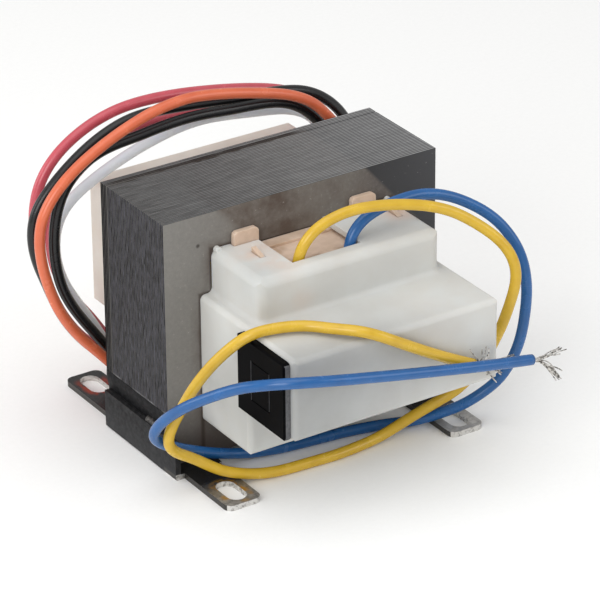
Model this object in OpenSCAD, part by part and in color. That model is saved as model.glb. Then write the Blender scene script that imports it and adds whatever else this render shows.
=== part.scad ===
// Open-core control transformer on two folded feet, with moulded winding covers and loose lead wires.
// Millimetres, +Z up, standing on z = 0. The low-voltage leads and the overload breaker face -Y.

/* [Laminated core] */
// Width across the E laminations
core_w = 85.7; // [80:0.1:96]
// Thickness of the lamination stack
stack_d = 31.8; // [26:0.1:38]
// Width of the centre leg, which carries the bobbin
tongue_w = 28.6; // [25:0.1:31]
// Width of each winding window
window_w = 14.3; // [13.6:0.1:16]
// Height of the E laminations
e_h = 57.2; // [54:0.1:62]
// Height of the closed yoke across the top of the E
yoke_h = 14.3; // [12:0.1:17]
// Height of the I laminations that close the windows from below
i_h = 14.3; // [12:0.1:17]
// How far the ends of the I laminations sit inside the sides of the E
i_setback = 0.6; // [0.4:0.1:2.4]
// Thickness of one lamination, insulation included
lamination_t = 0.79; // [0.6:0.01:1.2]
// Depth of the groove between the edges of two laminations
lamination_groove = 0.12; // [0.05:0.01:0.2]
// Number of sheets at the rear that stand loose from the rest
loose_sheets = 4; // [1:1:5]
// Width of the gap in front of the loose sheets
loose_gap = 0.5; // [0.3:0.05:0.5]
// Depth of the gap in front of the loose sheets
loose_depth = 2; // [0.3:0.1:3]

/* [Feet] */
// Thickness of the folded sheet
sheet_t = 1.6; // [1:0.1:2.5]
// Outer radius of the fold between the base and the wall
fold_r = 0.6; // [0.2:0.1:0.9]
// Height of the upright wall beside the I laminations
foot_wall_h = 11.2; // [8:0.1:13]
// Width of the sheet under the core
foot_base_w = 12.8; // [11:0.1:15]
// Reach of the left wall and base to the front, from the middle of the stack
foot_front = 21; // [19:0.1:24]
// Reach of the left wall and base to the rear, from the middle of the stack
foot_rear = 15.6; // [14:0.1:19]
// Width of a mounting tab
tab_w = 10.8; // [9:0.1:12]
// Reach of the tabs from the middle of the stack
tab_reach = 42.8; // [41:0.1:50]
// Corner radius at the end of a tab
tab_r = 2.2; // [1:0.1:4]
// Spacing of the slots across the core
slot_spacing_x = 71.4; // [69:0.1:74]
// Width of a slot
slot_w = 5.6; // [4:0.1:6]
// Overall length of a slot
slot_l = 10.6; // [8:0.1:12]
// Metal between a slot and the end of its tab
slot_end = 1.9; // [1.5:0.1:3]
// Radius of the weld beads on the walls
weld_r = 1.3; // [0.6:0.1:2]
// Length of a weld bead
weld_l = 4.4; // [3:0.1:12]

/* [Bobbin and windings] */
// Wall of the bobbin tube
bobbin_wall = 1.2; // [0.8:0.1:1.6]
// Thickness of a bobbin flange
flange_t = 1.4; // [1:0.1:2]
// Width of the bobbin flanges
flange_w = 52.8; // [51.6:0.1:53.2]
// Build of a winding, from the tube outwards
winding_build = 9.5; // [7:0.1:9.8]
// Thickness of the tape wrapped round a winding
wrap_t = 0.4; // [0.2:0.1:0.5]
// Reach of the deck at the outlet end, from the face of the stack
deck_reach = 17.2; // [15:0.1:18.5]
// Width of a stop tab that stands against the core
stop_w = 7.6; // [6:0.1:11]
// Thickness of a stop tab
stop_t = 1.6; // [1.2:0.1:3]
// Rise of a stop tab above the cover
stop_rise = 3.7; // [2:0.1:6]
// Spacing of the two stop tabs
stop_spacing = 37; // [36:0.1:40]
// Distance of the left latch barb from the middle
barb_left = 19.6; // [18:0.1:22]
// Distance of the right latch barb from the middle
barb_right = 23.6; // [20:0.1:24]
// Distance of the barbs from the face of the stack
barb_y = 9.1; // [7:0.1:11]
// Diameter of a lead outlet in the deck
outlet_d = 3.6; // [3.4:0.1:4]

/* [Covers] */
// Wall of both covers
cover_wall = 1.6; // [1.2:0.1:2]
// Height of both covers
cover_h = 50.1; // [49:0.1:53]
// Height of the narrow part at the outlet end
step_h = 12.5; // [9:0.1:16]
// Width of the narrow part
narrow_w = 56.8; // [56.6:0.1:59]
// Depth of the front cover from the face of the stack
front_depth = 23.4; // [21:0.1:28]
// Width of the front cover's wide part and of its breaker box
front_w = 64; // [61:0.1:70]
// Depth of the rear cover from the face of the stack
rear_depth = 25; // [21:0.1:28]
// Width of the rear cover's wide part
rear_w = 65; // [61:0.1:70]
// Radius of the moulded outer edges of the wide part and the breaker box
edge_r = 1.5; // [0.8:0.1:2.5]
// Radius of the moulded outer edges of the narrow part
narrow_r = 2.6; // [1.5:0.1:3]
// Radius of the hollow where the narrow part rises from the ledge
ledge_r = 1.5; // [0.5:0.1:2]
// Rise of the two pips at the core end of the narrow part
pip_rise = 0.7; // [0.3:0.1:1]
// Left end of the lead outlet in the narrow part, from the middle
outlet_left = 15; // [13.6:0.1:16.5]
// Right end of the lead outlet, from the middle
outlet_right = 6.4; // [6:0.1:7.5]
// Plastic left in front of the lead outlet
outlet_lip = 5; // [3:0.1:6]

/* [Overload breaker] */
// Depth of the breaker box in front of the cover
box_depth = 21.7; // [19:0.1:26]
// Height of the breaker box
box_h = 23.6; // [22:0.1:26]
// Width of the breaker's face plate
plate_w = 22.6; // [20:0.1:23.2]
// Height of the breaker's face plate
plate_h = 22.4; // [19:0.1:23.2]
// Thickness of the face plate
plate_t = 2; // [1.4:0.1:3]
// Bevel round the face plate
plate_bevel = 0.5; // [0.2:0.1:0.9]
// Width of the blank panel that is outlined on the face plate
panel_w = 9; // [6:0.1:14]
// Height of the blank panel
panel_h = 11.6; // [6:0.1:16]
// Depth of the panel's outline
panel_line = 0.2; // [0.1:0.1:0.6]
// How far the face plate sits below the middle of the box's end
plate_drop = 0.5; // [0:0.1:0.6]
// Distance from the front of the box to the face plate
plate_front_gap = 1.7; // [1:0.1:2.2]
// Length of the breaker's body inside the box
breaker_l = 30; // [20:0.1:40]
// Length of a terminal blade
blade_l = 9; // [6:0.1:12]
// Width of a terminal blade
blade_w = 6.3; // [4:0.1:8]
// Thickness of a terminal blade
blade_t = 0.8; // [0.6:0.1:1.2]

/* [Leads] */
// Outer diameter of a lead
lead_d = 3; // [2.6:0.1:3.2]
// Diameter of a stripped and twisted end
strand_d = 1.4; // [1:0.1:2]
// Length of a stripped end
strip_l = 9; // [5:0.1:14]

/* [Hidden] */
$fn = 48;

// Clearance between pieces that slide into each other
fit = 0.2;
// Overlap of a cutting tool past the face that it cuts
past = 1;

// Heights of the core
i_z = sheet_t;
e_z = i_z + i_h;
window_top = e_z + e_h - yoke_h;
core_top = e_z + e_h;
window_mid = (e_z + window_top) / 2;
face_y = stack_d / 2;
lamination_n = round(stack_d / lamination_t);
lamination_pitch = stack_d / lamination_n;
lamination_gap = lamination_pitch / 4;

// Feet
wall_in = core_w / 2 - i_setback;
wall_out = wall_in + sheet_t;
slot_y = tab_reach - slot_end - slot_l / 2;
weld_y = -7.4;

// Bobbin and windings
tube_x = tongue_w / 2 + fit + bobbin_wall;
tube_y = face_y + fit + bobbin_wall;
bobbin_top = window_top - fit;
section_h = (bobbin_top - e_z - 3 * flange_t) / 2;
coil_reach = tube_y + winding_build + wrap_t;
flange_rim = 0.6;
flange_y = coil_reach + flange_rim;
deck_y = face_y + deck_reach;
deck_root = window_top - flange_t;
deck_step = 0.8;
deck_step_y = face_y + 4;
stop_r = 1.2;
barb = [1.4, 4.4];
barb_hole = barb + 2 * [fit, fit];
barb_rise = 1.3;

// Covers, which are mirror images about the middle of the windows
cover_top = window_mid + cover_h / 2;
cover_bottom = window_mid - cover_h / 2;
shelf_z = cover_top - step_h;
deck_z = cover_top - cover_wall - fit;
front_y = face_y + front_depth;
rear_y = face_y + rear_depth;
box_y = front_y + box_depth;
box_z = shelf_z - box_h;
pip_r = 0.9;
pip_l = 1.6;

// Breaker, which fills the box's end with room at its sides
breaker_gap = 2;
breaker_y0 = front_y + breaker_gap;
breaker_y1 = box_y - cover_wall - breaker_gap + fit;
breaker_z0 = box_z + cover_wall + breaker_gap / 2;
breaker_z1 = shelf_z - cover_wall - breaker_gap / 2;
plate_y = box_y - plate_front_gap - plate_w;
plate_z = (box_z + shelf_z - plate_h) / 2 - plate_drop;
plate_r = 1.2;
panel_line_w = 0.4;

// The frame's origin lies under the middle of the object, leads apart
y_shift = (box_y - max(tab_reach, rear_y)) / 2;

// Routes of the leads, from the outlet to the end of the insulation, from the middle of the stack
yellow_route = [
  [-12, -32, 56], [-12, -32, 61], [-10.5, -32.8, 66], [-6, -33.5, 70.2], [2, -34.5, 72.6],
  [10.5, -35.5, 72.4], [17.5, -37, 71.5], [23.5, -39, 70.4], [31, -41, 67.4], [38, -44, 62.4],
  [42.8, -47, 57.6], [45.5, -49, 52], [45.5, -50, 46.6], [43.5, -50, 40.5], [41.5, -49, 33.5],
  [38.5, -45, 22.5], [35, -39, 12.5], [29.5, -35.5, 8], [22.5, -34, 4.9], [12, -34, 2], [-1, -35, 1.6],
  [-11, -34.5, 1.6], [-20, -34, 1.7], [-27.5, -32.4, 2.5], [-34.8, -29.4, 4.4], [-41.6, -26.6, 9],
  [-47.2, -26.4, 12.4], [-49.8, -27.2, 16], [-49.6, -28.4, 20.6], [-47.6, -30, 26], [-44.8, -33, 34],
  [-41.5, -37, 41.5], [-38, -41, 47.4], [-34.2, -44, 51.2], [-27, -46, 51.9], [-20, -49, 51.8],
  [-16, -54.2, 52], [-12, -59, 52.4], [-7.6, -62, 51.2], [-1.6, -63.2, 47.8], [9, -63, 41.4],
  [17, -63, 37], [22.5, -63, 34.2]
];
blue_route = [
  [4, -32, 56], [4, -32, 61], [5.8, -31.8, 65], [10.5, -31.5, 68], [18.5, -31, 69.4], [26.5, -31, 69.6],
  [33.5, -31.5, 68], [40, -33, 65], [46.5, -36, 60.4], [50.5, -39, 55.2], [53, -42, 48.5],
  [53.5, -44, 39.5], [52.3, -44, 27.5], [50.5, -43, 20], [47.5, -41, 13], [43.5, -38.5, 8.5],
  [38, -36.4, 5.2], [31.5, -34.5, 3.6], [25.5, -31.5, 1.9], [19, -28.5, 1.6], [8, -26, 1.6],
  [-5, -24.6, 1.6], [-15, -23.4, 1.8], [-25.6, -22.6, 3.5], [-37, -22.6, 7.6], [-44.2, -23, 11.2],
  [-50, -23.6, 14.8], [-53.2, -25.6, 19], [-53, -30.4, 25.2], [-50.6, -38, 32.2], [-46.6, -46, 38],
  [-42.8, -53, 42.2], [-38.8, -59.6, 44.8], [-33, -64.5, 45.8], [-23.5, -66.6, 44.6], [-10.5, -67, 42],
  [-3, -67, 40.4], [16.5, -66.5, 36.2], [28, -66, 33.8], [40, -65, 31.2]
];
orange_route = [
  [-12, 21.8, 16.4], [-12, 21.8, 12], [-13.2, 21.8, 7.6], [-16.4, 21.8, 4.4], [-21, 21.8, 3.2],
  [-27, 21.8, 5], [-34, 21.8, 10.5], [-41.5, 21.8, 19], [-48, 21.8, 26.5], [-53.5, 21.8, 35.5],
  [-57, 21.8, 45.5], [-58.5, 21.8, 53.5], [-58.5, 21.8, 59.5], [-57, 21.8, 65], [-52.5, 21.8, 71],
  [-45.5, 21.8, 76.5], [-37, 21.8, 81], [-29, 21.8, 84.2], [-21.5, 21.8, 86.4], [-12.5, 21.8, 87.4],
  [-6.5, 21.8, 86.9], [1.5, 21.8, 85.5], [9.5, 21.8, 83.6], [17.5, 21.8, 81.4], [23.5, 21.8, 79],
  [28.8, 21.8, 75.6], [32.6, 21.8, 71.4], [37.5, 21.8, 65], [42, 21.8, 56], [45, 21.8, 44], [44, 21.8, 29],
  [38, 21.8, 16], [28, 21.8, 8], [14, 21.8, 5]
];
black_route = [
  [-7, 24.9, 16.4], [-7, 24.9, 12], [-8.2, 24.9, 7.6], [-11.4, 24.9, 4.4], [-16, 24.9, 3.2],
  [-22, 24.9, 4.4], [-29, 24.9, 9], [-36, 24.9, 16.5], [-42, 24.9, 25], [-47, 24.9, 32.5],
  [-50.4, 24.9, 39.5], [-52, 24.9, 46], [-52.6, 24.9, 53], [-52, 24.9, 60], [-50.5, 24.9, 65.5],
  [-48, 24.9, 70], [-44, 24.9, 74], [-38, 24.9, 77], [-31.5, 24.9, 78.2], [-26, 24.9, 78.6],
  [-19, 24.9, 79.5], [-11, 24.9, 80], [-4.5, 24.9, 79.8], [3.5, 24.9, 79], [10, 24.9, 78.6],
  [16.5, 24.9, 77.9], [21.5, 24.9, 76.6], [25.6, 24.9, 74.4], [29.6, 24.9, 71], [34.5, 24.9, 65],
  [39, 24.9, 57], [42.5, 24.9, 46], [41, 24.9, 30], [36, 24.9, 15], [26, 25.2, 7.5], [10, 26.4, 5],
  [-4, 28, 4.6], [-18, 28, 5], [-30, 28, 9.6], [-38.5, 28, 16], [-44.8, 28, 23], [-50, 28, 31.5],
  [-54, 28, 42], [-56.2, 28, 48], [-57.4, 28, 54.5], [-57, 28, 60], [-55, 28, 64.6], [-50.5, 28, 69.4],
  [-45, 28, 74], [-38, 28, 78.5], [-30, 28, 81.8], [-23, 28, 83], [-16, 28, 82.8], [-9, 28, 82.2],
  [-2.5, 28, 81.5], [5.5, 28, 80.5], [12, 28, 79.8], [20, 28, 79.2], [28, 28, 77.6], [33.5, 28, 75],
  [38, 28, 71.5], [41.5, 28, 67.5], [45, 28, 61], [47.8, 28, 52], [48.4, 28, 40], [46, 28, 27]
];
white_route = [
  [-2, 31.1, 16.4], [-2, 31.1, 12], [-3.2, 31.1, 7.6], [-6.4, 31.1, 4.4], [-11, 31.1, 3.2],
  [-20, 31.1, 4.4], [-29, 31.1, 9.4], [-34.4, 31.1, 16.4], [-38, 31.1, 23], [-42.5, 31.1, 30.5],
  [-46.4, 31.1, 37.5], [-48.5, 31.1, 44], [-49, 31.1, 49.5], [-48.4, 31.1, 54.6], [-46.4, 31.1, 59],
  [-43, 31.1, 62.4], [-38, 31.1, 65.4], [-31, 31.1, 68.6], [-23, 31.1, 71.5], [-15, 31.1, 73.6],
  [-8.5, 31.1, 74.8], [-1, 31.1, 75.2], [7, 31.1, 74.4], [13, 31.1, 73.5], [19, 31.1, 72.7],
  [25, 31.1, 71.6], [30, 31.1, 69.6], [34.2, 31.1, 66.4], [39, 31.1, 58], [42, 31.1, 46], [41, 31.1, 32],
  [37.5, 31.1, 17], [28, 31.1, 8], [15, 31.1, 5.5]
];
red_route = [
  [3, 34.2, 16.4], [3, 34.2, 12], [1.8, 34.2, 7.6], [-1.4, 34.2, 4.4], [-6, 34.2, 3.2], [-11, 34.2, 3],
  [-19, 34.2, 4.6], [-28.5, 34.2, 10.5], [-33.5, 34.2, 18], [-37.4, 34.2, 24], [-42.5, 34.2, 31],
  [-46.4, 34.2, 38.5], [-48.2, 34.2, 45.5], [-48.4, 34.2, 51.5], [-47, 34.2, 57.5], [-44, 34.2, 63.5],
  [-38.8, 34.2, 68.8], [-32, 34.2, 72.6], [-26, 34.2, 75], [-19.5, 34.2, 76.6], [-13.5, 34.2, 76.9],
  [-7, 34.2, 76.6], [1, 34.2, 76.2], [9, 34.2, 75.6], [17, 34.2, 74.9], [23, 34.2, 74], [28.5, 34.2, 72.6],
  [33.5, 34.2, 70.2], [38, 34.2, 66], [42, 34.2, 58], [44.4, 34.2, 45], [41.5, 34.2, 29], [36.5, 34.2, 15],
  [27, 34.4, 7.5], [13, 35.6, 5], [-4, 37.4, 4.6], [-18, 37.4, 5], [-29.5, 37.4, 9.4], [-36, 37.4, 14],
  [-41, 37.4, 20], [-45.5, 37.4, 28], [-48.8, 37.4, 37.5], [-50.6, 37.4, 46.5], [-51.6, 37.4, 53],
  [-51.2, 37.4, 60], [-48.8, 37.4, 67], [-43.4, 37.4, 73.4], [-35, 37.4, 78.5], [-25.5, 37.4, 81.4],
  [-16, 37.4, 82], [-6.5, 37.4, 81.4], [0.5, 37.4, 80.5], [9.5, 37.4, 79], [19.5, 37.4, 76.8],
  [27.5, 37.4, 74.4], [33.5, 37.4, 71.5], [38.5, 37.4, 67.5], [42, 37.4, 63.5], [45.5, 37.4, 55],
  [46.5, 37.4, 43], [45, 37.4, 29]
];

// Swept tubes
lead_sides = 8;
function unit(v) = v / norm(v);
function tangents(pts) =
  [for (i = [0 : len(pts) - 1]) unit(pts[min(i + 1, len(pts) - 1)] - pts[max(i - 1, 0)])];
function carried(normal, tangent) = unit(normal - (normal * tangent) * tangent);
function normals(tans, i = 0, done = []) =
  i == len(tans) ? done
  : normals(tans, i + 1, concat(done, [carried(i == 0 ? [0.4, 0.7, 0.2] : done[i - 1], tans[i])]));
function ring(centre, tangent, normal, r) =
  let (side = cross(tangent, normal))
  [for (k = [0 : lead_sides - 1])
    centre + r * (cos(360 * k / lead_sides) * normal + sin(360 * k / lead_sides) * side)];

module tube(path, r) {
  tans = tangents(path);
  norms = normals(tans);
  n = len(path);
  s = lead_sides;
  points = [for (i = [0 : n - 1]) each ring(path[i], tans[i], norms[i], r)];
  sides = [for (i = [0 : n - 2], k = [0 : s - 1])
    [i * s + k, (i + 1) * s + k, (i + 1) * s + (k + 1) % s, i * s + (k + 1) % s]];
  start = [for (k = [0 : s - 1]) k];
  finish = [for (k = [0 : s - 1]) n * s - 1 - k];
  polyhedron(points, concat([start, finish], sides));
}

module lead(route) {
  tube(route, lead_d / 2);
}

// Stripped end, which carries on in the lead's own direction
module strands(route) {
  last = len(route) - 1;
  along = unit(route[last] - route[last - 1]);
  tube([for (part = [0, 0.5, 1]) route[last] + part * strip_l * along], strand_d / 2);
}

// Places a sub-part that is drawn from the middle of the stack
module placed() {
  translate([0, y_shift, 0]) children();
}

// Turns a sub-part of the front top outlet round to the rear bottom outlet
module turned_to_rear() {
  translate([0, 0, window_mid]) rotate([180, 0, 0]) translate([0, 0, -window_mid]) children();
}

module mirrored_x() {
  children();
  mirror([1, 0, 0]) children();
}

// Box between two corners
module block(a, b) {
  translate(a) cube(b - a);
}

// Rectangle between two corners, with round corners
module round_rect(a, b, r) {
  translate([a.x + r, a.y]) square([b.x - a.x - 2 * r, b.y - a.y]);
  translate([a.x, a.y + r]) square([b.x - a.x, b.y - a.y - 2 * r]);
  for (x = [a.x + r, b.x - r], y = [a.y + r, b.y - r]) translate([x, y]) circle(r);
}

// What a round corner leaves of a square: the hollow between two straight edges
module corner_hollow(r) {
  difference() {
    square(r);
    translate([r, r]) circle(r);
  }
}

// Box between two corners, with every edge round
module round_block(a, b, r) {
  intersection() {
    translate([0, 0, a.z]) linear_extrude(b.z - a.z) round_rect([a.x, a.y], [b.x, b.y], r);
    translate([0, b.y, 0]) rotate([90, 0, 0]) linear_extrude(b.y - a.y)
      round_rect([a.x, a.z], [b.x, b.z], r);
    translate([a.x, 0, 0]) rotate([90, 0, 90]) linear_extrude(b.x - a.x)
      round_rect([a.y, a.z], [b.y, b.z], r);
  }
}

// Edge of a stack seen along the sheets: lands at one distance, grooves between them
function is_loose(i) = i == lamination_n - loose_sheets;
function gap_before(i) = i == 0 || i == lamination_n ? 0 : is_loose(i) ? loose_gap : lamination_gap;
function depth_before(i) = is_loose(i) ? loose_depth : lamination_groove;
function land_start(i) = -face_y + i * lamination_pitch + gap_before(i) / 2;
function land_end(i) = -face_y + (i + 1) * lamination_pitch - gap_before(i + 1) / 2;
function stack_edge(at) = [for (i = [0 : lamination_n - 1]) each [
  if (i > 0) [at - depth_before(i), land_start(i)],
  [at, land_start(i)],
  [at, land_end(i)],
  if (i < lamination_n - 1) [at - depth_before(i + 1), land_end(i)]
]];
function reversed(list) = [for (i = [len(list) - 1 : -1 : 0]) list[i]];

// Sheets stacked along Y, with grooved side edges
module grooved_sides(half_w, z0, z1) {
  edge = stack_edge(half_w);
  far_edge = [for (p = reversed(edge)) [-p.x, p.y]];
  translate([0, 0, z0]) linear_extrude(z1 - z0) polygon(concat(edge, far_edge));
}

// Sheets stacked along Y, with grooved top edges
module grooved_top(half_w, z0, z1) {
  top = [for (p = stack_edge(z1)) [p.y, p.x]];
  translate([-half_w, 0, 0]) rotate([90, 0, 90]) linear_extrude(2 * half_w)
    polygon(concat([[face_y, z0], [-face_y, z0]], top));
}

module e_laminations() {
  color("dimgray") placed() difference() {
    intersection() {
      grooved_sides(core_w / 2, e_z, core_top);
      grooved_top(core_w / 2, e_z, core_top);
    }
    mirrored_x() block([tongue_w / 2, -face_y - past, e_z - past],
      [tongue_w / 2 + window_w, face_y + past, window_top]);
  }
}

module i_laminations() {
  color("dimgray") placed() grooved_sides(wall_in, i_z, e_z);
}

// Slot along Y through the base of a foot
module slot() {
  straight = (slot_l - slot_w) / 2;
  for (y = [-straight, straight]) translate([0, y, -past]) cylinder(d = slot_w, h = sheet_t + 2 * past);
  block([-slot_w / 2, -straight, -past], [slot_w / 2, straight, sheet_t + past]);
}

// Tab of one foot, from the end of the base to its round end, with its slot
module foot_tab(base_end) {
  root_y = base_end - tab_r;
  difference() {
    linear_extrude(sheet_t) {
      translate([-tab_w / 2, root_y]) square([tab_w, tab_reach - root_y - tab_r]);
      round_rect([-tab_w / 2, root_y], [tab_w / 2, tab_reach], tab_r);
    }
    translate([0, slot_y, 0]) slot();
  }
}

// Section of a foot across the fold: base under the core and upright wall beside the I laminations
module foot_section() {
  difference() {
    union() {
      translate([-wall_out, 0]) square([sheet_t + foot_base_w, sheet_t]);
      translate([-wall_out, 0]) square([sheet_t, foot_wall_h]);
    }
    translate([-wall_out, 0]) corner_hollow(fold_r);
  }
}

// Left foot: folded sheet along the stack, with a slotted tab at each end
module foot_bracket() {
  translate([0, foot_rear, 0]) rotate([90, 0, 0]) linear_extrude(foot_front + foot_rear) foot_section();
  translate([-slot_spacing_x / 2, 0, 0]) {
    foot_tab(foot_rear);
    mirror([0, 1, 0]) foot_tab(foot_front);
  }
}

module left_foot_bracket() {
  color("darkslategray") placed() foot_bracket();
}

// The right foot is the same stamping, turned end for end
module right_foot_bracket() {
  color("darkslategray") placed() rotate([0, 0, 180]) foot_bracket();
}

// Quarter-round bead along the top of each wall, against the I laminations
module bracket_welds() {
  color("gray") placed() mirrored_x() intersection() {
    translate([-wall_in, weld_y + weld_l / 2, foot_wall_h]) rotate([90, 0, 0])
      cylinder(r = weld_r, h = weld_l);
    block([-wall_in - weld_r, weld_y - weld_l / 2, foot_wall_h],
      [-wall_in, weld_y + weld_l / 2, foot_wall_h + weld_r]);
  }
}

// Stop tab against the face of the core, with round upper corners
module stop_tab() {
  top = cover_top + stop_rise;
  translate([stop_spacing / 2, -face_y - fit, 0]) rotate([90, 0, 0]) linear_extrude(stop_t) {
    translate([-stop_w / 2, deck_root]) square([stop_w, top - deck_root - stop_r]);
    translate([-stop_w / 2 + stop_r, top - 2 * stop_r]) square([stop_w - 2 * stop_r, 2 * stop_r]);
    for (x = [-1, 1]) translate([x * (stop_w / 2 - stop_r), top - stop_r]) circle(stop_r);
  }
}

// Latch barb with a sloping top, which springs into a hole of the cover
module latch_barb(x) {
  top = cover_top + barb_rise;
  translate([x, -face_y - barb_y, 0]) rotate([90, 0, 90]) translate([0, 0, -barb.x / 2])
    linear_extrude(barb.x)
      polygon([[-barb.y / 2, deck_root], [barb.y / 2, deck_root], [barb.y / 2, top],
        [-barb.y / 2, top - barb_rise]]);
}

// Outlet end of the bobbin: deck outside the core with its stop tabs, barbs and lead outlets
module bobbin_outlet(starts) {
  difference() {
    union() {
      block([-flange_w / 2, -deck_y, deck_root], [flange_w / 2, -face_y - fit, deck_z - deck_step]);
      block([-flange_w / 2, -deck_step_y, deck_root], [flange_w / 2, -face_y - fit, deck_z]);
    }
    for (s = starts) translate([s.x, s.y, deck_root - past])
      cylinder(d = outlet_d, h = deck_z - deck_root + 2 * past);
  }
  mirrored_x() stop_tab();
  for (x = [-barb_left, barb_right]) latch_barb(x);
}

module bobbin() {
  front_starts = [yellow_route[0], blue_route[0]];
  rear_routes = [orange_route, black_route, white_route, red_route];
  rear_starts = [for (route = rear_routes) [route[0].x, -route[0].y]];
  color("bisque") placed() {
    difference() {
      union() {
        block([-tube_x, -tube_y, e_z], [tube_x, tube_y, bobbin_top]);
        for (z = [e_z, e_z + flange_t + section_h, bobbin_top - flange_t])
          block([-flange_w / 2, -flange_y, z], [flange_w / 2, flange_y, z + flange_t]);
      }
      block([-tongue_w / 2 - fit, -face_y - fit, e_z - past],
        [tongue_w / 2 + fit, face_y + fit, bobbin_top + past]);
      for (s = front_starts) translate([s.x, s.y, bobbin_top - flange_t - past])
        cylinder(d = outlet_d, h = flange_t + 2 * past);
      for (s = rear_starts) translate([s.x, -s.y, e_z - past])
        cylinder(d = outlet_d, h = flange_t + 2 * past);
    }
    bobbin_outlet(front_starts);
    turned_to_rear() bobbin_outlet(rear_starts);
  }
}

// Outline of a winding round the tube, grown by its build
module coil_outline(build) {
  round_rect([-tube_x - build, -tube_y - build], [tube_x + build, tube_y + build], build);
}

module winding(z) {
  translate([0, 0, z]) linear_extrude(section_h) difference() {
    coil_outline(winding_build);
    square([2 * tube_x, 2 * tube_y], center = true);
  }
}

module wrap(z) {
  translate([0, 0, z]) linear_extrude(section_h) difference() {
    coil_outline(winding_build + wrap_t);
    coil_outline(winding_build);
  }
}

lower_section_z = e_z + flange_t;
upper_section_z = lower_section_z + section_h + flange_t;

module primary_winding() {
  color("chocolate") placed() winding(lower_section_z);
}

module secondary_winding() {
  color("chocolate") placed() winding(upper_section_z);
}

module primary_wrap() {
  color("khaki") placed() wrap(lower_section_z);
}

module secondary_wrap() {
  color("khaki") placed() wrap(upper_section_z);
}

// Hollow along each side of the narrow part, where it rises from the ledge
module side_hollows(depth) {
  mirrored_x() translate([narrow_w / 2, -face_y, shelf_z]) rotate([90, 0, 0])
    linear_extrude(depth - narrow_r) corner_hollow(ledge_r);
}

// Hollow along the front of the narrow part and round its two corners
module front_hollow(depth) {
  reach = face_y + depth;
  straight = narrow_w - 2 * narrow_r;
  translate([-straight / 2, -reach, shelf_z]) rotate([90, 0, 90]) mirror([1, 0, 0])
    linear_extrude(straight) corner_hollow(ledge_r);
  mirrored_x() translate([straight / 2, -reach + narrow_r, shelf_z]) rotate([0, 0, -90])
    rotate_extrude(angle = 90) translate([narrow_r, 0]) corner_hollow(ledge_r);
}

// Pip at each core end of the narrow part's upper edges
module corner_pips() {
  mirrored_x() translate([narrow_w / 2 - pip_r - narrow_r / 4, -face_y, cover_top + pip_rise - pip_r])
    rotate([90, 0, 0]) cylinder(r = pip_r, h = pip_l);
}

// Stepped shell, open to the core, with the lead outlet, stop notches and barb holes in its narrow end
module winding_cover(wide_w, depth) {
  back = face_y + depth;
  inner = back - cover_wall;
  wide = wide_w / 2;
  narrow = narrow_w / 2;
  overlap = 3 * max(edge_r, narrow_r);
  difference() {
    union() {
      round_block([-wide, -back, cover_bottom], [wide, overlap, shelf_z], edge_r);
      round_block([-narrow, -back, shelf_z - overlap], [narrow, overlap, cover_top], narrow_r);
      side_hollows(depth);
      corner_pips();
      children();
    }
    block([-wide - past, -face_y, cover_bottom - past], [wide + past, 2 * overlap, cover_top + past]);
    block([-wide + cover_wall, -inner, cover_bottom + cover_wall],
      [wide - cover_wall, 0, shelf_z - cover_wall]);
    block([-narrow + cover_wall, -inner, shelf_z - 2 * cover_wall],
      [narrow - cover_wall, 0, cover_top - cover_wall]);
    block([-outlet_left, -back + outlet_lip, cover_top - cover_wall - past],
      [outlet_right, 0, cover_top + past]);
    mirrored_x()
      block([(stop_spacing - stop_w) / 2 - fit, -face_y - stop_t - 2 * fit, cover_top - cover_wall - past],
        [(stop_spacing + stop_w) / 2 + fit, 0, cover_top + past]);
    for (x = [-barb_left, barb_right]) translate([x, -face_y - barb_y, cover_top - cover_wall / 2])
      cube([barb_hole.x, barb_hole.y, 2 * cover_wall], center = true);
  }
}

module front_cover() {
  wide = front_w / 2;
  color("gainsboro") placed() difference() {
    winding_cover(front_w, front_depth) {
      round_block([-wide, -box_y, box_z], [wide, -front_y + 4 * edge_r, shelf_z], edge_r);
      front_hollow(front_depth);
    }
    block([-wide + cover_wall, -box_y + cover_wall, box_z + cover_wall],
      [wide - cover_wall, -front_y, shelf_z - cover_wall]);
    block([-wide - past, -breaker_y1 - fit, breaker_z0 - fit],
      [-wide + 2 * cover_wall, -breaker_y0 + fit, breaker_z1 + fit]);
  }
}

module rear_cover() {
  color("antiquewhite") placed() turned_to_rear() winding_cover(rear_w, rear_depth);
}

// Outline of the blank panel in the middle of the face plate
module panel_outline() {
  translate([-plate_y - plate_w / 2, plate_z + plate_h / 2]) difference() {
    square([panel_w, panel_h], center = true);
    square([panel_w - 2 * panel_line_w, panel_h - 2 * panel_line_w], center = true);
  }
}

// Plate in the YZ plane with round corners, a bevel round its outer face and an outlined panel
module face_plate() {
  x0 = -front_w / 2 - plate_t;
  x1 = -front_w / 2;
  y0 = -plate_y - plate_w;
  y1 = -plate_y;
  z1 = plate_z + plate_h;
  b = plate_bevel;
  difference() {
    intersection() {
      translate([x0, 0, 0]) rotate([90, 0, 90]) linear_extrude(plate_t)
        round_rect([y0, plate_z], [y1, z1], plate_r);
      translate([0, 0, plate_z]) linear_extrude(plate_h)
        polygon([[x1, y0], [x1, y1], [x0 + b, y1], [x0, y1 - b], [x0, y0 + b], [x0 + b, y0]]);
      translate([0, y1, 0]) rotate([90, 0, 0]) linear_extrude(plate_w)
        polygon([[x1, plate_z], [x1, z1], [x0 + b, z1], [x0, z1 - b], [x0, plate_z + b], [x0 + b, plate_z]]);
    }
    translate([x0 - past, 0, 0]) rotate([90, 0, 90]) linear_extrude(past + panel_line) panel_outline();
  }
}

module overload_breaker() {
  color([0.12, 0.12, 0.13]) placed() {
    face_plate();
    block([-front_w / 2, -breaker_y1, breaker_z0], [-front_w / 2 + breaker_l, -breaker_y0, breaker_z1]);
  }
}

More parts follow.
